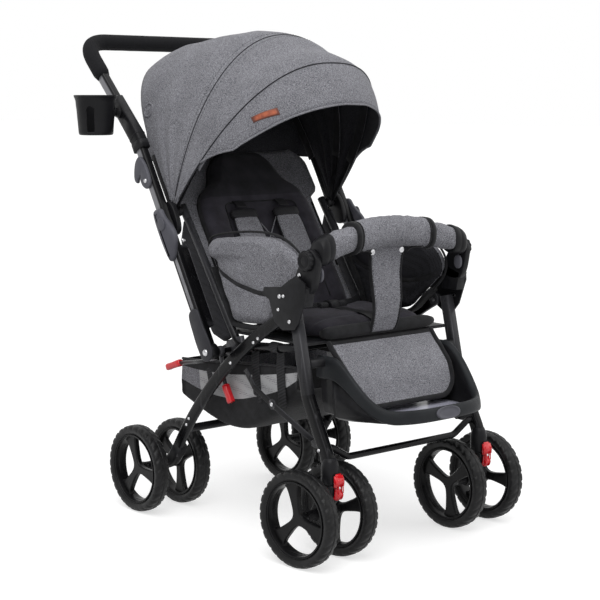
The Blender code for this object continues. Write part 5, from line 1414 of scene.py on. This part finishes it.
def tray_point(width, depth_share, drop, t):
    c, s = cos(t), sin(t)
    x = -TRAY_HALF_WIDTH * width * copysign(abs(c) ** (2 / 3.2), c)
    depth = (TRAY_REAR_Y - TRAY_FRONT_Y) * abs(s) ** (2 / 3.2)
    rim = rim_z(TRAY_REAR_Y - depth)
    return Vector((x, TRAY_REAR_Y - depth * depth_share, rim - drop(rim)))


def footrest():
    """Scoop with a broad sloping band round its rim, tall inner walls and a satin floor."""
    columns = 84
    ts = [pi * k / columns for k in range(columns + 1)]

    def level(share):
        return lambda rim: (rim - TRAY_FLOOR_Z) * share

    def fixed(amount):
        return lambda rim: amount

    def skirt(more):
        return lambda rim: 0.0235 + 0.2 * (rim - 0.285) + more

    profile = [(0.93, 0.93, skirt(0.003)), (0.955, 0.965, skirt(0.003)), (0.968, 0.985, skirt(0.001)),
               (0.998, 1.010, skirt(0.0)), (1.0, 1.013, skirt(-0.003)), (0.998, 1.006, fixed(0.012)),
               (0.992, 0.994, fixed(0.004)), (0.980, 0.982, fixed(0.0006)), (0.960, 0.968, fixed(0.0)),
               (0.928, 0.942, fixed(0.0012)), (0.908, 0.925, fixed(0.0050)), (0.900, 0.915, level(0.42)),
               (0.880, 0.892, level(0.80)), (0.845, 0.870, level(0.97)), (0.80, 0.84, level(1.0)),
               (0.60, 0.72, level(1.0)), (0.40, 0.60, level(1.0))]
    rows = [[tray_point(w, d, drop, t) for t in ts] for w, d, drop in profile]
    half = columns // 2
    middle = rows[-1]
    form = Form()
    form.skin(rows, mark=lambda i, j: 1 if i > 9 else 0)
    base = len(form.points) - len(middle)
    for k in range(half - 1):
        form.faces.append((base + k, base + k + 1, base + columns - k - 1, base + columns - k))
        form.marks.append(1)
    form.faces.append((base + half - 1, base + half, base + half + 1))
    form.marks.append(1)
    made = form.item("footrest_scoop", "footrest", [TRAY_LOOK, PLASTIC], "footrest_tray", closed=False)
    thicken(made, 0.0042, 0)
    under = Form()
    rows = [[tray_point(w, d, drop, t) for t in ts]
            for w, d, drop in ((0.935, 0.955, skirt(0.0)), (0.93, 0.95, level(0.75)),
                               (0.90, 0.93, level(1.0)), (0.82, 0.87, level(1.06)))]
    under.skin([[p for p in row if p.y < -0.262] for row in rows])
    wall = under.item("footrest_wall", "footrest", [PLASTIC], closed=False)
    thicken(wall, 0.0030)
    boss = Form()
    for _, side in SIDES:
        boss.lathe([(0, TIP), (0, 0.0085), (0.0015, 0.009), (LEG_INNER - CLEAR - 0.149, 0.009),
                    (LEG_INNER - CLEAR - 0.149, TIP)], (side * 0.149, -0.2515, 0.362), (side, 0, 0), 28)
    boss.item("footrest_bosses", "footrest", [PLASTIC])
    strip = Form()
    rows = []
    for j in range(9):
        y = -0.262 - 0.118 * j / 8
        half_x = 0.118 * (1 - 0.10 * (j / 8) ** 3)
        rows.append([Vector((half_x * (-1 + 2 * i / 20), y - 0.010 * (1 - (2 * i / 20 - 1) ** 2),
                             TRAY_FLOOR_Z + 0.0016 + 0.003 * (j / 8) ** 4)) for i in range(21)])
    strip.skin(rows)
    plate = strip.item("footrest_floor_plate", "footrest", [STRIP], closed=False)
    thicken(plate, 0.0018, 0, 0.0)
    badge = Form()
    rows = []
    slope = Vector((0, -0.30, -1)).normalized()
    out = Vector((0, -1, 0.30)).normalized()
    for scale, high in ((1.06, -0.0030), (1.06, 0.0006), (1.0, 0.0018), (0.90, 0.0019), (0.86, 0.0010),
                        (0.5, 0.0016)):
        rows.append([Vector((0.029 * scale * a, -0.4258, 0.2735)) + slope * 0.0112 * scale * b + out * high
                     for a, b in oval(40, 2.2)])
    badge.loft(rows)
    badge.item("footrest_oval", "footrest", [GREY])


# Basket

STATIONS = ((0.160, 0.318, 0.236, 0.178), (0.090, 0.322, 0.206, 0.085), (0.0, 0.330, 0.196, 0.0),
            (-0.090, 0.338, 0.222, -0.080), (-0.165, 0.344, 0.262, -0.150), (-0.205, 0.346, 0.300, -0.188))
SECTION = ((1.0, 0.0), (0.985, 0.30), (0.96, 0.70), (0.88, 1.0), (0.45, 1.03), (0.0, 1.035))


def basket_half(station):
    rim_y, rim_z_, floor_z, floor_y = station
    path = []
    for width, drop in SECTION:
        share = min(drop, 1.0)
        path.append(Vector((BASKET_HALF_WIDTH * width, rim_y + (floor_y - rim_y) * share,
                            rim_z_ + (floor_z - rim_z_) * drop)))
    return path


def basket():
    """Slung basket: cloth body, mesh sides and a grey band behind."""
    stations = [tuple(v) for v in spline([Vector(s[:3]) for s in STATIONS], 5)]
    floors = [v.x for v in spline([Vector((s[3], 0, 0)) for s in STATIONS], 5)]
    form = Form()
    rows = []
    for (rim_y, high, low), floor_y in zip(stations, floors):
        half = spline(basket_half((rim_y, high, low, floor_y)), 5)
        row = [Vector((-p.x, p.y, p.z)) for p in half] + [p.copy() for p in reversed(half[:-1])]
        for p in row:
            depth = min(max((high - p.z) / max(high - low, 1e-6), 0), 1)
            sag = 0.0028 * ripple(p, 0.05, 11) * sin(pi * min(depth * 0.9, 1))
            p.x += copysign(sag, p.x) if abs(p.x) > 0.05 else 0
            p.z += 0.002 * ripple(p, 0.06, 12) * depth
        rows.append(row)
    count = len(rows[0])

    def mark(row, column):
        place = min(column, count - 2 - column)
        if place < 3:
            return 1
        if place < 8:
            return 2 if row > 3 else 0
        return 1

    form.skin(rows, mark=mark)
    for row, flip in ((rows[0], False), (rows[-1], True)):
        half = count // 2
        left, right = row[:half + 1], [row[count - 1 - i] for i in range(half + 1)]
        panel = []
        for a, b in zip(left, right):
            panel.append([a.lerp(b, k / 12) + Vector((0, 0.004 * sin(pi * k / 12), 0)) for k in range(13)])
        band = (lambda i, j: 1 if i < 3 else 0 if i < 13 else 1) if not flip else 1
        form.skin(panel, mark=band, flip=not flip)
    made = form.item("basket_fabric", "frame", [CLOTH, TRIM, LIGHT_MESH], "basket", "dark_cloth",
                     closed=False)
    weld(made, outward=False)
    thicken(made, CLOTH_THICK)
    made.data.shade_smooth()
    straps = Form()
    for _, side in SIDES:
        for y in (-0.080, -0.155):
            high = 0.372 + 0.013 * (-0.040 - y) / 0.163
            x = side * (BASKET_HALF_WIDTH + 0.0012)
            path = [(x - side * 0.006, y, 0.262), (x - side * 0.002, y, 0.300), (x, y, 0.332),
                    (x, y, high - 0.011), (side * (RAIL_X - 0.004), y, high - 0.0100),
                    (side * (RAIL_X + 0.006), y, high - 0.0082), (side * (RAIL_X + 0.0095), y, high),
                    (side * (RAIL_X + 0.004), y, high + 0.0090), (side * (RAIL_X - 0.006), y, high + 0.0075),
                    (side * (RAIL_X - 0.0100), y, high - 0.002)]
            straps.ribbon(spline(path, 5), (0, 1, 0), 0.024, WEB_THICK)
        rim = [Vector((side * BASKET_HALF_WIDTH, s[0], s[1] + 0.001)) for s in stations]
        straps.sweep(rim, 0.0026, 0.0026, 8, side=(1, 0, 0))
        rear = [(side * 0.1745, 0.075, 0.318), (side * 0.1735, 0.066, 0.280), (side * 0.168, 0.060, 0.235)]
        straps.ribbon(spline(rear, 6), (0, 1, 0.2), 0.020, WEB_THICK)
    straps.item("basket_straps", "frame", [WEB])


# Handle

def arm_point(distance, forward=0.0, x=0.0):
    return HANDLE_PIVOT + ARM_LEAN * distance + square_to(ARM_LEAN) * forward + X_AXIS * x


def on_arm(distance, forward):
    point = arm_point(distance, forward)
    return point.y, point.z


def arm_outline(corners, steps):
    """Soft side outline from corners given along and across the arm."""
    return soft_outline([on_arm(along, forward) for along, forward in corners], steps)


def handle():
    right, left = Vector((-HANDLE_X, 0, 0)), Vector((HANDLE_X, 0, 0))
    path = rounded([HANDLE_PIVOT + right, HANDLE_KNEE + right, HANDLE_TOP + right, HANDLE_TOP + left,
                    HANDLE_KNEE + left, HANDLE_PIVOT + left], TUBE_BEND, 8)
    form = Form()
    form.sweep(path, 0.009, 0.012, 24, 4.0)
    for _, side in SIDES:
        form.lathe([(0, 0.0060), (0, 0.0160), (0.0012, 0.0170), (0.0160, 0.0170), (0.0172, 0.0160),
                    (0.0172, 0.0060)], (side * 0.2314, *HANDLE_PIVOT.yz), (side, 0, 0), 36, ring=True)
        outer, inner = side * 0.2490, side * 0.2168
        web = [arm_point(0.052 + 0.174 * k / 24, 0, (outer + inner) / 2) for k in range(25)]
        form.sweep(web, abs(outer - inner) / 2, 0.0118, 24, 7.0, mark=1,
                   scale=lambda t: 0.95 + 0.05 * min(1, sin(pi * t) * 20))
        for x in (outer, inner):
            ridge = [arm_point(0.060 + 0.156 * k / 12, 0.0118,
                               x - copysign(0.0022, x) * (1 if x == outer else -1)) for k in range(13)]
            form.sweep(ridge, 0.0010, 0.0010, 8, mark=1)
        bracket = [(0.086, -0.0135), (0.086, 0.0135), (0.050, 0.0160), (0.012, 0.0195), (-0.010, 0.0160),
                   (-0.0175, 0.0), (-0.010, -0.0160), (0.012, -0.0205), (0.045, -0.0200)]
        form.prism(arm_outline(bracket, 4), side * 0.2484, side * 0.2528, 0.0014, mark=2)
    form.item("handle_tube_dress", "handle", [TUBE, PAINT, DARK_GREY], "handle_tube")
    start = HANDLE_TOP - UPPER_LEAN * 0.105
    corners = rounded([start + right, HANDLE_TOP + right, HANDLE_TOP + left, start + left], TUBE_BEND, 20)
    path = [corners[0]]
    for point in corners[1:]:
        pieces = max(int((point - path[-1]).length / 0.012), 1)
        last = path[-1]
        path += [last.lerp(point, (k + 1) / pieces) for k in range(pieces)]
    grip = Form()

    def ends(t):
        return 0.80 + 0.20 * min(1.0, sin(pi * t) * 30)

    grip.sweep(path, 0.0168, 0.0168, 28, scale=ends, bulge=lambda p: 0.012 * ripple(p, 0.02))
    made = grip.item("handle_foam", "handle", [FOAM], "handle_grip")


def sleeve_and_cup():
    right = Vector((-HANDLE_X, 0, 0))
    path = rounded([HANDLE_KNEE - ARM_LEAN * 0.024 + right, HANDLE_KNEE + right,
                    HANDLE_KNEE + UPPER_LEAN * 0.110 + right], TUBE_BEND, 8)
    form = Form()
    form.sweep(path, 0.0125, 0.0165, 28, 4.0, scale=lambda t: 0.93 + 0.07 * min(1, sin(pi * t) * 12))
    form.sweep(path[-3:-1], 0.0132, 0.0172, 28, 4.0)
    form.sweep(path[:2], 0.0132, 0.0172, 28, 4.0)
    hinge = Vector((0, 0.2689, 0.8214))
    form.lathe([(0, 0.0105), (0.001, 0.0115), (0.004, 0.0115), (0.005, 0.0090), (0.0138, 0.0090),
                (0.0138, TIP)], (-0.2505, hinge.y, hinge.z), (-1, 0, 0), 30)
    form.item("arm_sleeve", "handle", [PLASTIC], "cup_mount")
    cup_x, top, low, base_radius = -0.306, 0.855, 0.775, 0.0350
    sides, levels = 96, 40

    def ring(radius, z):
        angles = [2 * pi * k / sides for k in range(sides)]
        return [Vector((cup_x + radius * cos(a), hinge.y + radius * sin(a), z)) for a in angles]

    profile = []
    for k in range(levels + 1):
        t = k / levels
        radius = base_radius + 0.0062 * t + 0.0028 * max(t - 0.86, 0) / 0.14
        if t < 0.07:
            radius = base_radius - 0.0022 * (1 - t / 0.07) ** 2
        profile.append((radius, low + (top - low) * t))
    cup = Form()

    def open_at(i, j):
        angle = (j + 0.5) * 360 / sides
        t = (i + 0.5) / levels
        for middle in (40, 140, 220, 320):
            off = abs((angle - middle + 180) % 360 - 180)
            if 0.07 < t < 0.72 and off < 13:
                return off < 13 * sqrt(max(1 - (max(t - 0.62, 0) / 0.10) ** 2, 0))
        return False

    cup.skin([ring(radius, z) for radius, z in profile], wrap=True, skip=open_at)
    start = len(cup.points)
    cup.points += ring(0.020, low) + ring(0.006, low + 0.0005)
    for ring_a, ring_b in ((0, start), (start, start + sides)):
        for j in range(sides):
            k = (j + 1) % sides
            cup.faces.append((ring_b + j, ring_b + k, ring_a + k, ring_a + j))
            cup.marks.append(0)
    cup.faces.append(tuple(start + sides + j for j in reversed(range(sides))))
    cup.marks.append(0)
    made = cup.item("cup_shell", "cup", [PLASTIC], "cup_holder", closed=False)
    thicken(made, 0.0026, 0)
    finer(made)
    arm = Form()
    arm.lathe([(0, 0.0090), (0.0010, 0.0100), (0.0055, 0.0100), (0.0060, 0.0085)],
              (cup_x + 0.0385, hinge.y, hinge.z), (1, 0, 0), 28)
    arm.lathe([(0.0, 0.0436), (0.0012, 0.0440), (0.0, 0.0418), (-0.0030, 0.0412), (-0.0034, 0.0432)],
              (cup_x, hinge.y, top - 0.0012), (0, 0, 1), 72, ring=True)
    arm.item("cup_rim", "cup", [PLASTIC])


def latches():
    low, high = 0.200, 0.306
    middle = (low + high) / 2
    corners = [(high, -0.011), (high, 0.012), (high - 0.020, 0.018), (middle + 0.005, 0.030),
               (middle - 0.012, 0.033), (middle - 0.028, 0.026), (low + 0.008, 0.012), (low, 0.002),
               (low + 0.004, -0.010), (middle, -0.015)]
    outline = arm_outline(corners, 5)
    for name, side in SIDES:
        start = side * 0.2493
        form = Form()
        thick = 0.013
        layers = ((0.0, 0.0010), (0.06, 0.0002), (0.35, 0.0), (0.62, 0.0012), (0.82, 0.0042), (0.95, 0.0085),
                  (1.0, 0.0130))
        form.loft([[Vector((start + side * thick * share, y, z)) for y, z in inset(outline, draw)]
                   for share, draw in layers])
        press = [on_arm(middle + 0.020 - 0.014 * a * 0.9, 0.010 + 0.0105 * b) for a, b in oval(28, 2.6)]
        form.prism(press, start + side * 0.0128, start + side * 0.0150, 0.0010)
        form.item("latch_shell_" + name, "latch_" + name, [GREY], "handle_latch_" + name)
        rivets("latch_pin_" + name, "handle", [(arm_point(0.235, 0.0116, side * 0.2240), square_to(ARM_LEAN),
                                                0.0046)])
    rivets("pivot_rivets", "frame", [((side * 0.2531, *HANDLE_PIVOT.yz), (side, 0, 0), 0.0070)
                                     for _, side in SIDES])


def hook():
    pivot, low = 0.375, -0.012
    corners = [(pivot + 0.050, low), (pivot + 0.052, 0.004), (pivot + 0.030, 0.012), (pivot, 0.012),
               (pivot - 0.014, 0.004), (pivot - 0.014, -0.008), (pivot - 0.002, -0.016),
               (pivot + 0.012, -0.016), (pivot + 0.018, -0.010), (pivot + 0.016, -0.022),
               (pivot + 0.010, -0.030), (pivot + 0.020, -0.034), (pivot + 0.036, -0.026)]
    form = Form()
    form.prism(arm_outline(corners, 4), -0.2493, -0.2573, 0.0022)
    form.item("hook_shell", "hook", [GREY], "fold_hook")
    rivets("hook_rivet", "hook", [((-0.2573, *on_arm(pivot, 0)), (-1, 0, 0), 0.0046)])


# Frame tubes, hubs and levers

def axle(form, centre, mark):
    """Plastic sleeve between two wheels and the steel pin through it."""
    form.lathe([(-0.0352, 0.0100), (0.0352, 0.0100)], centre, X_AXIS, 28, mark)
    form.lathe([(-0.057, TIP), (-0.057, 0.004), (0.057, 0.004), (0.057, TIP)], centre, X_AXIS, 16, mark + 1)


def post(form, centre, side, radius, length, sides):
    """Plain round pin with a flat end."""
    form.lathe([(0, radius), (length, radius), (length, TIP)], centre, (side, 0, 0), sides)


def leg_y(z):
    return -0.226 - (0.455 - z) * tan(radians(13))


def front_legs():
    for name, side in SIDES:
        form = Form()
        foot_z = FORK_TOP_Z + 0.050
        path = rounded([Vector((side * LEG_X, -0.226, 0.455)), Vector((side * LEG_X, leg_y(0.300), 0.300)),
                        Vector((side * LEG_X, SWIVEL_Y + 0.006, foot_z)),
                        Vector((side * LEG_X, SWIVEL_Y, foot_z - 0.020))], 0.06, 8)
        form.sweep(path, 0.010, 0.012, 24, 4.0)
        low = FORK_TOP_Z + CLEAR
        form.lathe([(0.0, 0.0056), (0.0, 0.0152), (0.002, 0.0162), (0.004, 0.0165), (0.033, 0.0165),
                    (0.042, 0.0140), (0.049, 0.0112), (0.050, 0.0056)], (side * TRACK / 2, SWIVEL_Y, low),
                   (0, 0, 1), 36, mark=1, ring=True)
        lug = soft_outline([(-0.302, 0.2282), (-0.267, 0.2232), (-0.263, 0.2152), (-0.268, 0.2092),
                            (-0.304, 0.2122)], 3)
        form.prism(lug, side * LEG_INNER, side * (LEG_INNER + 0.004), 0.0006)
        form.item("leg_tube_" + name, "frame", [PAINT, PLASTIC], "front_leg_" + name)
        spots = ((0.2102, -0.3017, 0.211, 1, 0.0036), (0.2102, -0.3135, 0.186, 1, 0.0030),
                 (0.2102, -0.2377, 0.4556, 1, 0.0036), (0.188, -0.270, 0.2162, -1, 0.0034))
        rivets("leg_rivets_" + name, "frame", [((side * x, y, z), (side * facing, 0, 0), radius)
                                               for x, y, z, facing, radius in spots])
    form = Form()
    end, y, high, low = LEG_INNER - CLEAR, -0.305, 0.214, 0.190
    half = [(end, y, high), (end - 0.008, y, high), (end - 0.048, y, low)]
    path = rounded(half + [(-x, y, z) for x, y, z in reversed(half)], 0.030, 8)
    form.sweep(path, 0.0065, 0.0065, 20, side=(0, 1, 0))
    form.item("front_cross_dress", "frame", [PAINT], "front_cross_tube")


def rear_legs():
    for name, side in SIDES:
        x = side * REAR_LEG_X
        path = curve((x, *FOLD_PIVOT), (x, 0.030, 0.322), (x, 0.150, 0.125), 28)
        form = Form()
        form.sweep(path, 0.006, 0.012, 20, 4.0)
        wheel_x = side * TRACK / 2
        foot = rounded([(wheel_x, 0.136, 0.145), (wheel_x, 0.165, 0.108),
                        (wheel_x, REAR_AXLE_Y, WHEEL_RADIUS)], 0.05, 8)
        form.sweep(foot, 0.012, 0.0135, 24, 3.4, mark=1)
        axle(form, (wheel_x, REAR_AXLE_Y, WHEEL_RADIUS), 1)
        form.lathe([(0, 0.0045), (0, 0.0120), (0.0010, 0.0126), (0.0110, 0.0126), (0.0120, 0.0120),
                    (0.0120, 0.0045)], (side * 0.198, *FOLD_PIVOT), (side, 0, 0), 32, ring=True)
        form.item("rear_leg_dress_" + name, "rear_frame", [PAINT, PLASTIC, STEEL], "rear_leg_" + name)
        spots = ((-0.1269, 0.3972), (-0.1134, 0.3878), (-0.0425, 0.3394), (0.0943, 0.207), (0.103, 0.1932))
        rivets("rear_leg_rivets_" + name, "rear_frame",
               [((side * 0.2101, y, z), (side, 0, 0), 0.0034) for y, z in spots])
    middle = curve((0, *FOLD_PIVOT), (0, 0.030, 0.322), (0, 0.150, 0.125), 20)[17]
    form = Form()
    end = 0.198 - CLEAR
    form.sweep([(-end, middle.y, middle.z), (-end + 0.01, middle.y, middle.z),
                (end - 0.01, middle.y, middle.z), (end, middle.y, middle.z)], 0.0085, 0.0085, 24,
               side=(0, 1, 0))
    form.item("rear_cross_dress", "rear_frame", [PAINT], "rear_cross_tube")


def seat_tubes():
    foot = Vector((0, -0.040, 0.372))
    lean, across = ARM_LEAN, square_to(ARM_LEAN)
    top = CANOPY + lean * 0.012
    half = [top, foot, Vector((0, -0.203, 0.385))]
    path = rounded([p - X_AXIS * RAIL_X for p in half] + [p + X_AXIS * RAIL_X for p in reversed(half)], 0.035,
                   8)
    form = Form()
    form.sweep(path, 0.008, 0.008, 20)
    for _, side in SIDES:
        shelf = [(-0.060, 0.366), (-0.052, 0.392), (-0.008, 0.377), (-0.006, 0.351), (-0.020, 0.345)]
        form.prism(shelf, side * (RAIL_X - 0.004), side * (RAIL_X + 0.006), 0.0015)
        form.lathe([(0, 0.005), (0.066, 0.005), (0.066, 0.0088), (0.0670, 0.0088), (0.0680, 0.0078),
                    (0.0690, TIP)], (side * (RAIL_X - 0.003), *HANDLE_PIVOT.yz), (side, 0, 0), 28)
        post(form, (side * RAIL_X, *CANOPY.yz), side, 0.005, 0.0428, 20)
        form.lathe([(0, 0.0095), (0.0015, 0.0105), (0.006, 0.0105), (0.007, 0.0095)],
                   (side * 0.1955, *CANOPY.yz), (side, 0, 0), 28, mark=1)
    lug = [(-0.050, 0.368), (-0.045, 0.384), (0.000, 0.372), (0.026, 0.358), (0.026, 0.346), (0.014, 0.342),
           (-0.020, 0.350)]
    form.prism(lug, -0.1787, -0.1827, 0.0006)
    post(form, (-0.1797, 0.018, 0.352), -1, 0.004, 0.0113, 16)
    form.item("seat_tube_dress", "frame", [PAINT, PLASTIC], "seat_frame")
    for name, side in SIDES:
        clamp = Form()
        corners = [(0.020, -0.010), (0.017, 0.012), (0.0, 0.020), (-0.028, 0.019), (-0.047, 0.011),
                   (-0.050, -0.004), (-0.036, -0.018), (-0.010, -0.026), (0.012, -0.022)]
        outline = []
        for along, forward in corners:
            point = CANOPY + lean * along + across * forward
            outline.append((point.y, point.z))
        clamp.prism(soft_outline(outline, 4), side * 0.2168, side * 0.2285, 0.0022)
        spot = CANOPY - lean * 0.036 + across * 0.002
        clamp.rivet((side * 0.2284, spot.y, spot.z), (side, 0, 0), 0.0040, mark=1)
        clamp.item("canopy_clamp_" + name, "frame", [PLASTIC, STEEL])
        gusset = Form()
        rows = []
        for k in range(31):
            t = k / 30
            along = 0.022 + 0.262 * t
            deep = 0.026 * min(1, 0.45 + 1.6 * sin(pi * t))
            middle = foot + lean * along - across * (0.0095 + deep) + X_AXIS * side * 0.1895
            row = []
            for a, b in oval(28, 3.0):
                point = middle + X_AXIS * 0.0046 * a - across * deep * b
                row.append(point + X_AXIS * 0.0014 * ripple(point, 0.02, 3 + side))
            rows.append(row)
        gusset.loft(rows)
        made = gusset.item("back_gusset_" + name, "frame", [DARK_MESH])


def hubs():
    plate = [(-0.146, 0.484), (-0.150, 0.498), (-0.200, 0.503), (-0.220, 0.516), (-0.240, 0.526),
             (-0.266, 0.515), (-0.268, 0.490), (-0.250, 0.440), (-0.238, 0.426), (-0.204, 0.422),
             (-0.180, 0.436), (-0.165, 0.476)]
    root = [(-0.222, 0.470), (-0.224, 0.520), (-0.270, 0.505), (-0.262, 0.470)]
    arm = [(-0.224, 0.500), (-0.226, 0.522), (-0.245, 0.557), (-0.262, 0.576), (-0.282, 0.565),
           (-0.287, 0.545), (-0.270, 0.495)]
    for name, side in SIDES:
        form = Form()
        form.prism(plate, side * PLATE_X0, side * PLATE_X1, 0.0010)
        form.prism(root, side * LEG_INNER, side * (PLATE_X0 + 0.002), 0.0012)
        form.prism(soft_outline(arm, 4), side * LEG_INNER, side * ARM_FACE, 0.0022)
        post(form, (side * 0.199, *FOLD_PIVOT), side, 0.004, 0.0133, 16)
        form.item("hub_dress_" + name, "frame", [PLASTIC], "hub_bracket_" + name, smooth_angle=40)
        spots = ((PLATE_X1, -0.1959, 0.4846, 0.0044), (PLATE_X1, -0.2070, 0.4861, 0.0036),
                 (PLATE_X1, -0.1924, 0.4598, 0.0036), (PLATE_X1, -0.2241, 0.4401, 0.0040),
                 (ARM_FACE, -0.2400, 0.5270, 0.0044))
        rivets("hub_rivets_" + name, "frame", [((side * x, y, z), (side, 0, 0), radius)
                                               for x, y, z, radius in spots])
        knob = Form()
        rows = []
        for depth, scale, lobes in ((0.0, 0.90, 0.4), (0.08, 0.97, 0.8), (0.25, 1.0, 1.0), (0.62, 1.0, 1.0),
                                    (0.82, 0.97, 0.9), (0.95, 0.90, 0.7), (1.0, 0.82, 0.5), (0.96, 0.72, 0.3),
                                    (0.78, 0.64, 0.1), (0.74, 0.50, 0.0), (0.90, 0.42, 0.0),
                                    (0.98, 0.34, 0.0), (1.0, 0.18, 0.0), (1.0, 0.001, 0.0)):
            row = []
            for k in range(KNOB_SIDES):
                a = 2 * pi * k / KNOB_SIDES
                notch = (0.5 + 0.5 * cos(12 * a + 0.9 * depth)) ** 2
                r = KNOB_RADIUS * scale * (1 - 0.085 * lobes * notch)
                row.append(Vector((side * (ARM_FACE + CLEAR + 0.010 * depth), KNOB[0] + r * cos(a),
                                   KNOB[1] + r * sin(a))))
            rows.append(row)
        knob.loft(rows)
        knob.item("knob_dress_" + name, "knob_" + name, [PLASTIC], "hub_knob_" + name)
        lever = Form()
        tab = [(-0.2731 + 0.0095 * a, 0.5285 + 0.0135 * b) for a, b in oval(30, 2.2)]
        lever.prism(tab, side * 0.1800, side * 0.1850, 0.0015)
        lever.lathe([(0, 0.005), (0.0055, 0.005)], (side * 0.1845, -0.268, 0.536), (side, 0, 0), 18)
        lever.item("bar_release_tab_" + name, "frame", [GREY])


def casters():
    for name, side in SIDES:
        turn = CASTER_TURN if side < 0 else 0.0
        pivot = Vector((side * TRACK / 2, SWIVEL_Y, 0))

        def turned(form):
            spin = Matrix.Translation(pivot) @ Matrix.Rotation(turn, 4, "Z") @ Matrix.Translation(-pivot)
            form.points = [spin @ p for p in form.points]
            return form

        x, nose, top = side * TRACK / 2, SWIVEL_Y - 0.0165, FORK_TOP_Z
        corners = [(nose, top), (SWIVEL_Y + 0.015, top), (SWIVEL_Y + 0.020, top - 0.020),
                   (SWIVEL_Y + 0.041, 0.094), (SWIVEL_Y + 0.036, 0.077), (SWIVEL_Y + 0.020, 0.077),
                   (SWIVEL_Y + 0.006, 0.102), (nose + 0.003, top - 0.030)]
        form = Form()
        form.prism(corners, x - 0.012, x + 0.012, 0.0028)
        axle(form, (x, SWIVEL_Y + CASTER_TRAIL, WHEEL_RADIUS), 0)
        form.lathe([(-0.010, TIP), (-0.010, 0.005), (0.0198, 0.005), (0.0200, TIP)], (x, SWIVEL_Y, top),
                   (0, 0, 1), 16, mark=1)
        turned(form).item("fork_dress_" + name, "caster_" + name, [PLASTIC, STEEL], "caster_fork_" + name,
                          "black_plastic", smooth_angle=50)
        rivets("fork_screw_" + name, "caster_" + name,
               [((x + side * 0.0121, SWIVEL_Y - 0.0030, 0.138), (side, 0, 0), 0.0034)], turned)
        back = SWIVEL_Y - 0.0165 - CLEAR
        high, low = 0.170, 0.126
        face = back - 0.008
        corners = [(back - 0.0014, high), (back, low + 0.010), (back + 0.002, low),
                   (face + 0.001, low - 0.001), (face - 0.003, low + 0.008), (face, low + 0.016),
                   (face - 0.001, high - 0.010), (face + 0.003, high)]
        lever = Form()
        lever.prism(soft_outline(corners, 4), x - 0.0075, x + 0.0075, 0.0018)
        head = [(back - 0.0022, high), (back - 0.0022, high - 0.022), (face - 0.0014, high - 0.020),
                (face - 0.0022, high - 0.010), (face + 0.0022, high)]
        lever.prism(head, x - 0.0112, x + 0.0112, 0.0018)
        for edge_x in (x - 0.0062, x + 0.0062):
            ridge = [(edge_x, face - 0.0014, high - 0.006), (edge_x, face - 0.0022, high - 0.020),
                     (edge_x, face - 0.0026, low + 0.012)]
            lever.sweep(spline(ridge, 4), 0.0011, 0.0011, 8)
        turned(lever).item("lock_dress_" + name, "lock_" + name, [RED], "swivel_lock_" + name)
        rivets("lock_screw_" + name, "lock_" + name,
               [((x - 0.002, face - 0.0012, low + 0.022), (0, -1, 0), 0.0026)], turned)


def braces_and_levers():
    for name, side in SIDES:
        x = side * (LEG_INNER - CLEAR - 0.0015)
        path = rounded([(x, -0.270, 0.2162), (x, -0.143, 0.270), (x, -0.090, 0.294), (x, -0.062, 0.326)],
                       0.02, 6)
        form = Form()
        form.sweep(path, 0.0015, 0.006, 16, 4.0)
        for (y, z), radius in (((-0.143, 0.270), 0.0102), ((-0.270, 0.2162), 0.0069)):
            form.lathe([(-0.0015, TIP), (-0.0015, radius - 0.0004), (-0.0011, radius), (0.0011, radius),
                        (0.0015, radius - 0.0004), (0.0015, TIP)], (x, y, z), (1, 0, 0), 28)
        form.item("brace_dress_" + name, "brace_" + name, [PAINT], "fold_brace_" + name)
        rivets("brace_rivet_" + name, "brace_" + name,
               [((x + out * 0.0015, -0.143, 0.270), (out, 0, 0), 0.0044) for out in (side, -side)])
    levers = (("fold_lever", "lever_fold", -0.2185, (-0.020, 0.361), (0.030, 0.334), (0.112, 0.320),
               (0.152, 0.306), 0.005, 0.0054),
              ("release_lever", "lever_release", -RAIL_X, (0.018, 0.352), (0.008, 0.300), (0.002, 0.284),
               (-0.016, 0.254), 0.004, 0.0044))
    for name, body, x, eye, bend_at, tip_start, tip_end, half, bore in levers:
        form = Form()
        path = rounded([(x, *eye), (x, *bend_at), (x, *tip_start)], 0.02, 6)
        direction = (path[1] - path[0]).normalized()
        path[0] = path[0] + direction * 0.008
        form.sweep(path, 0.004, 0.004, 16)
        form.lathe([(-half, bore), (-half, 0.0092), (-half + 0.0008, 0.0100), (half - 0.0008, 0.0100),
                    (half, 0.0092), (half, bore)], (x, *eye), (1, 0, 0), 30, ring=True)
        first, second = Vector((x, *tip_start)), Vector((x, *tip_end))
        grip = [first.lerp(second, t) for t in (-0.10, -0.04, 0.10, 0.5, 0.88, 0.97, 1.0)]
        sizes = [0.80, 0.97, 1.0, 0.93, 1.0, 0.95, 0.80]
        form.sweep(grip, 0.0074, 0.0074, 20, 3.0, mark=1, scale=lambda t: sizes[int(round(t * 6))])
        form.item(name + "_dress", body, [PAINT, RED], name, "red_plastic")


def plain_pieces():
    """Black plastic on the pieces that are used as the CAD has them."""
    for name in ("seat_board", "canopy_bow_front", "canopy_bow_middle", "canopy_bow_rear"):
        NODES[name].data.materials.clear()
        NODES[name].data.materials.append(PLASTIC)


studio()
floor()
wheels()
canopy()
plain_pieces()
seat_cushion()
backrest()
harness()
for wing_name, wing_side in SIDES:
    wing(wing_name, wing_side)
bumper()
crotch_strap()
leg_flap()
footrest()
basket()
handle()
sleeve_and_cup()
latches()
hook()
front_legs()
rear_legs()
seat_tubes()
hubs()
casters()
braces_and_levers()
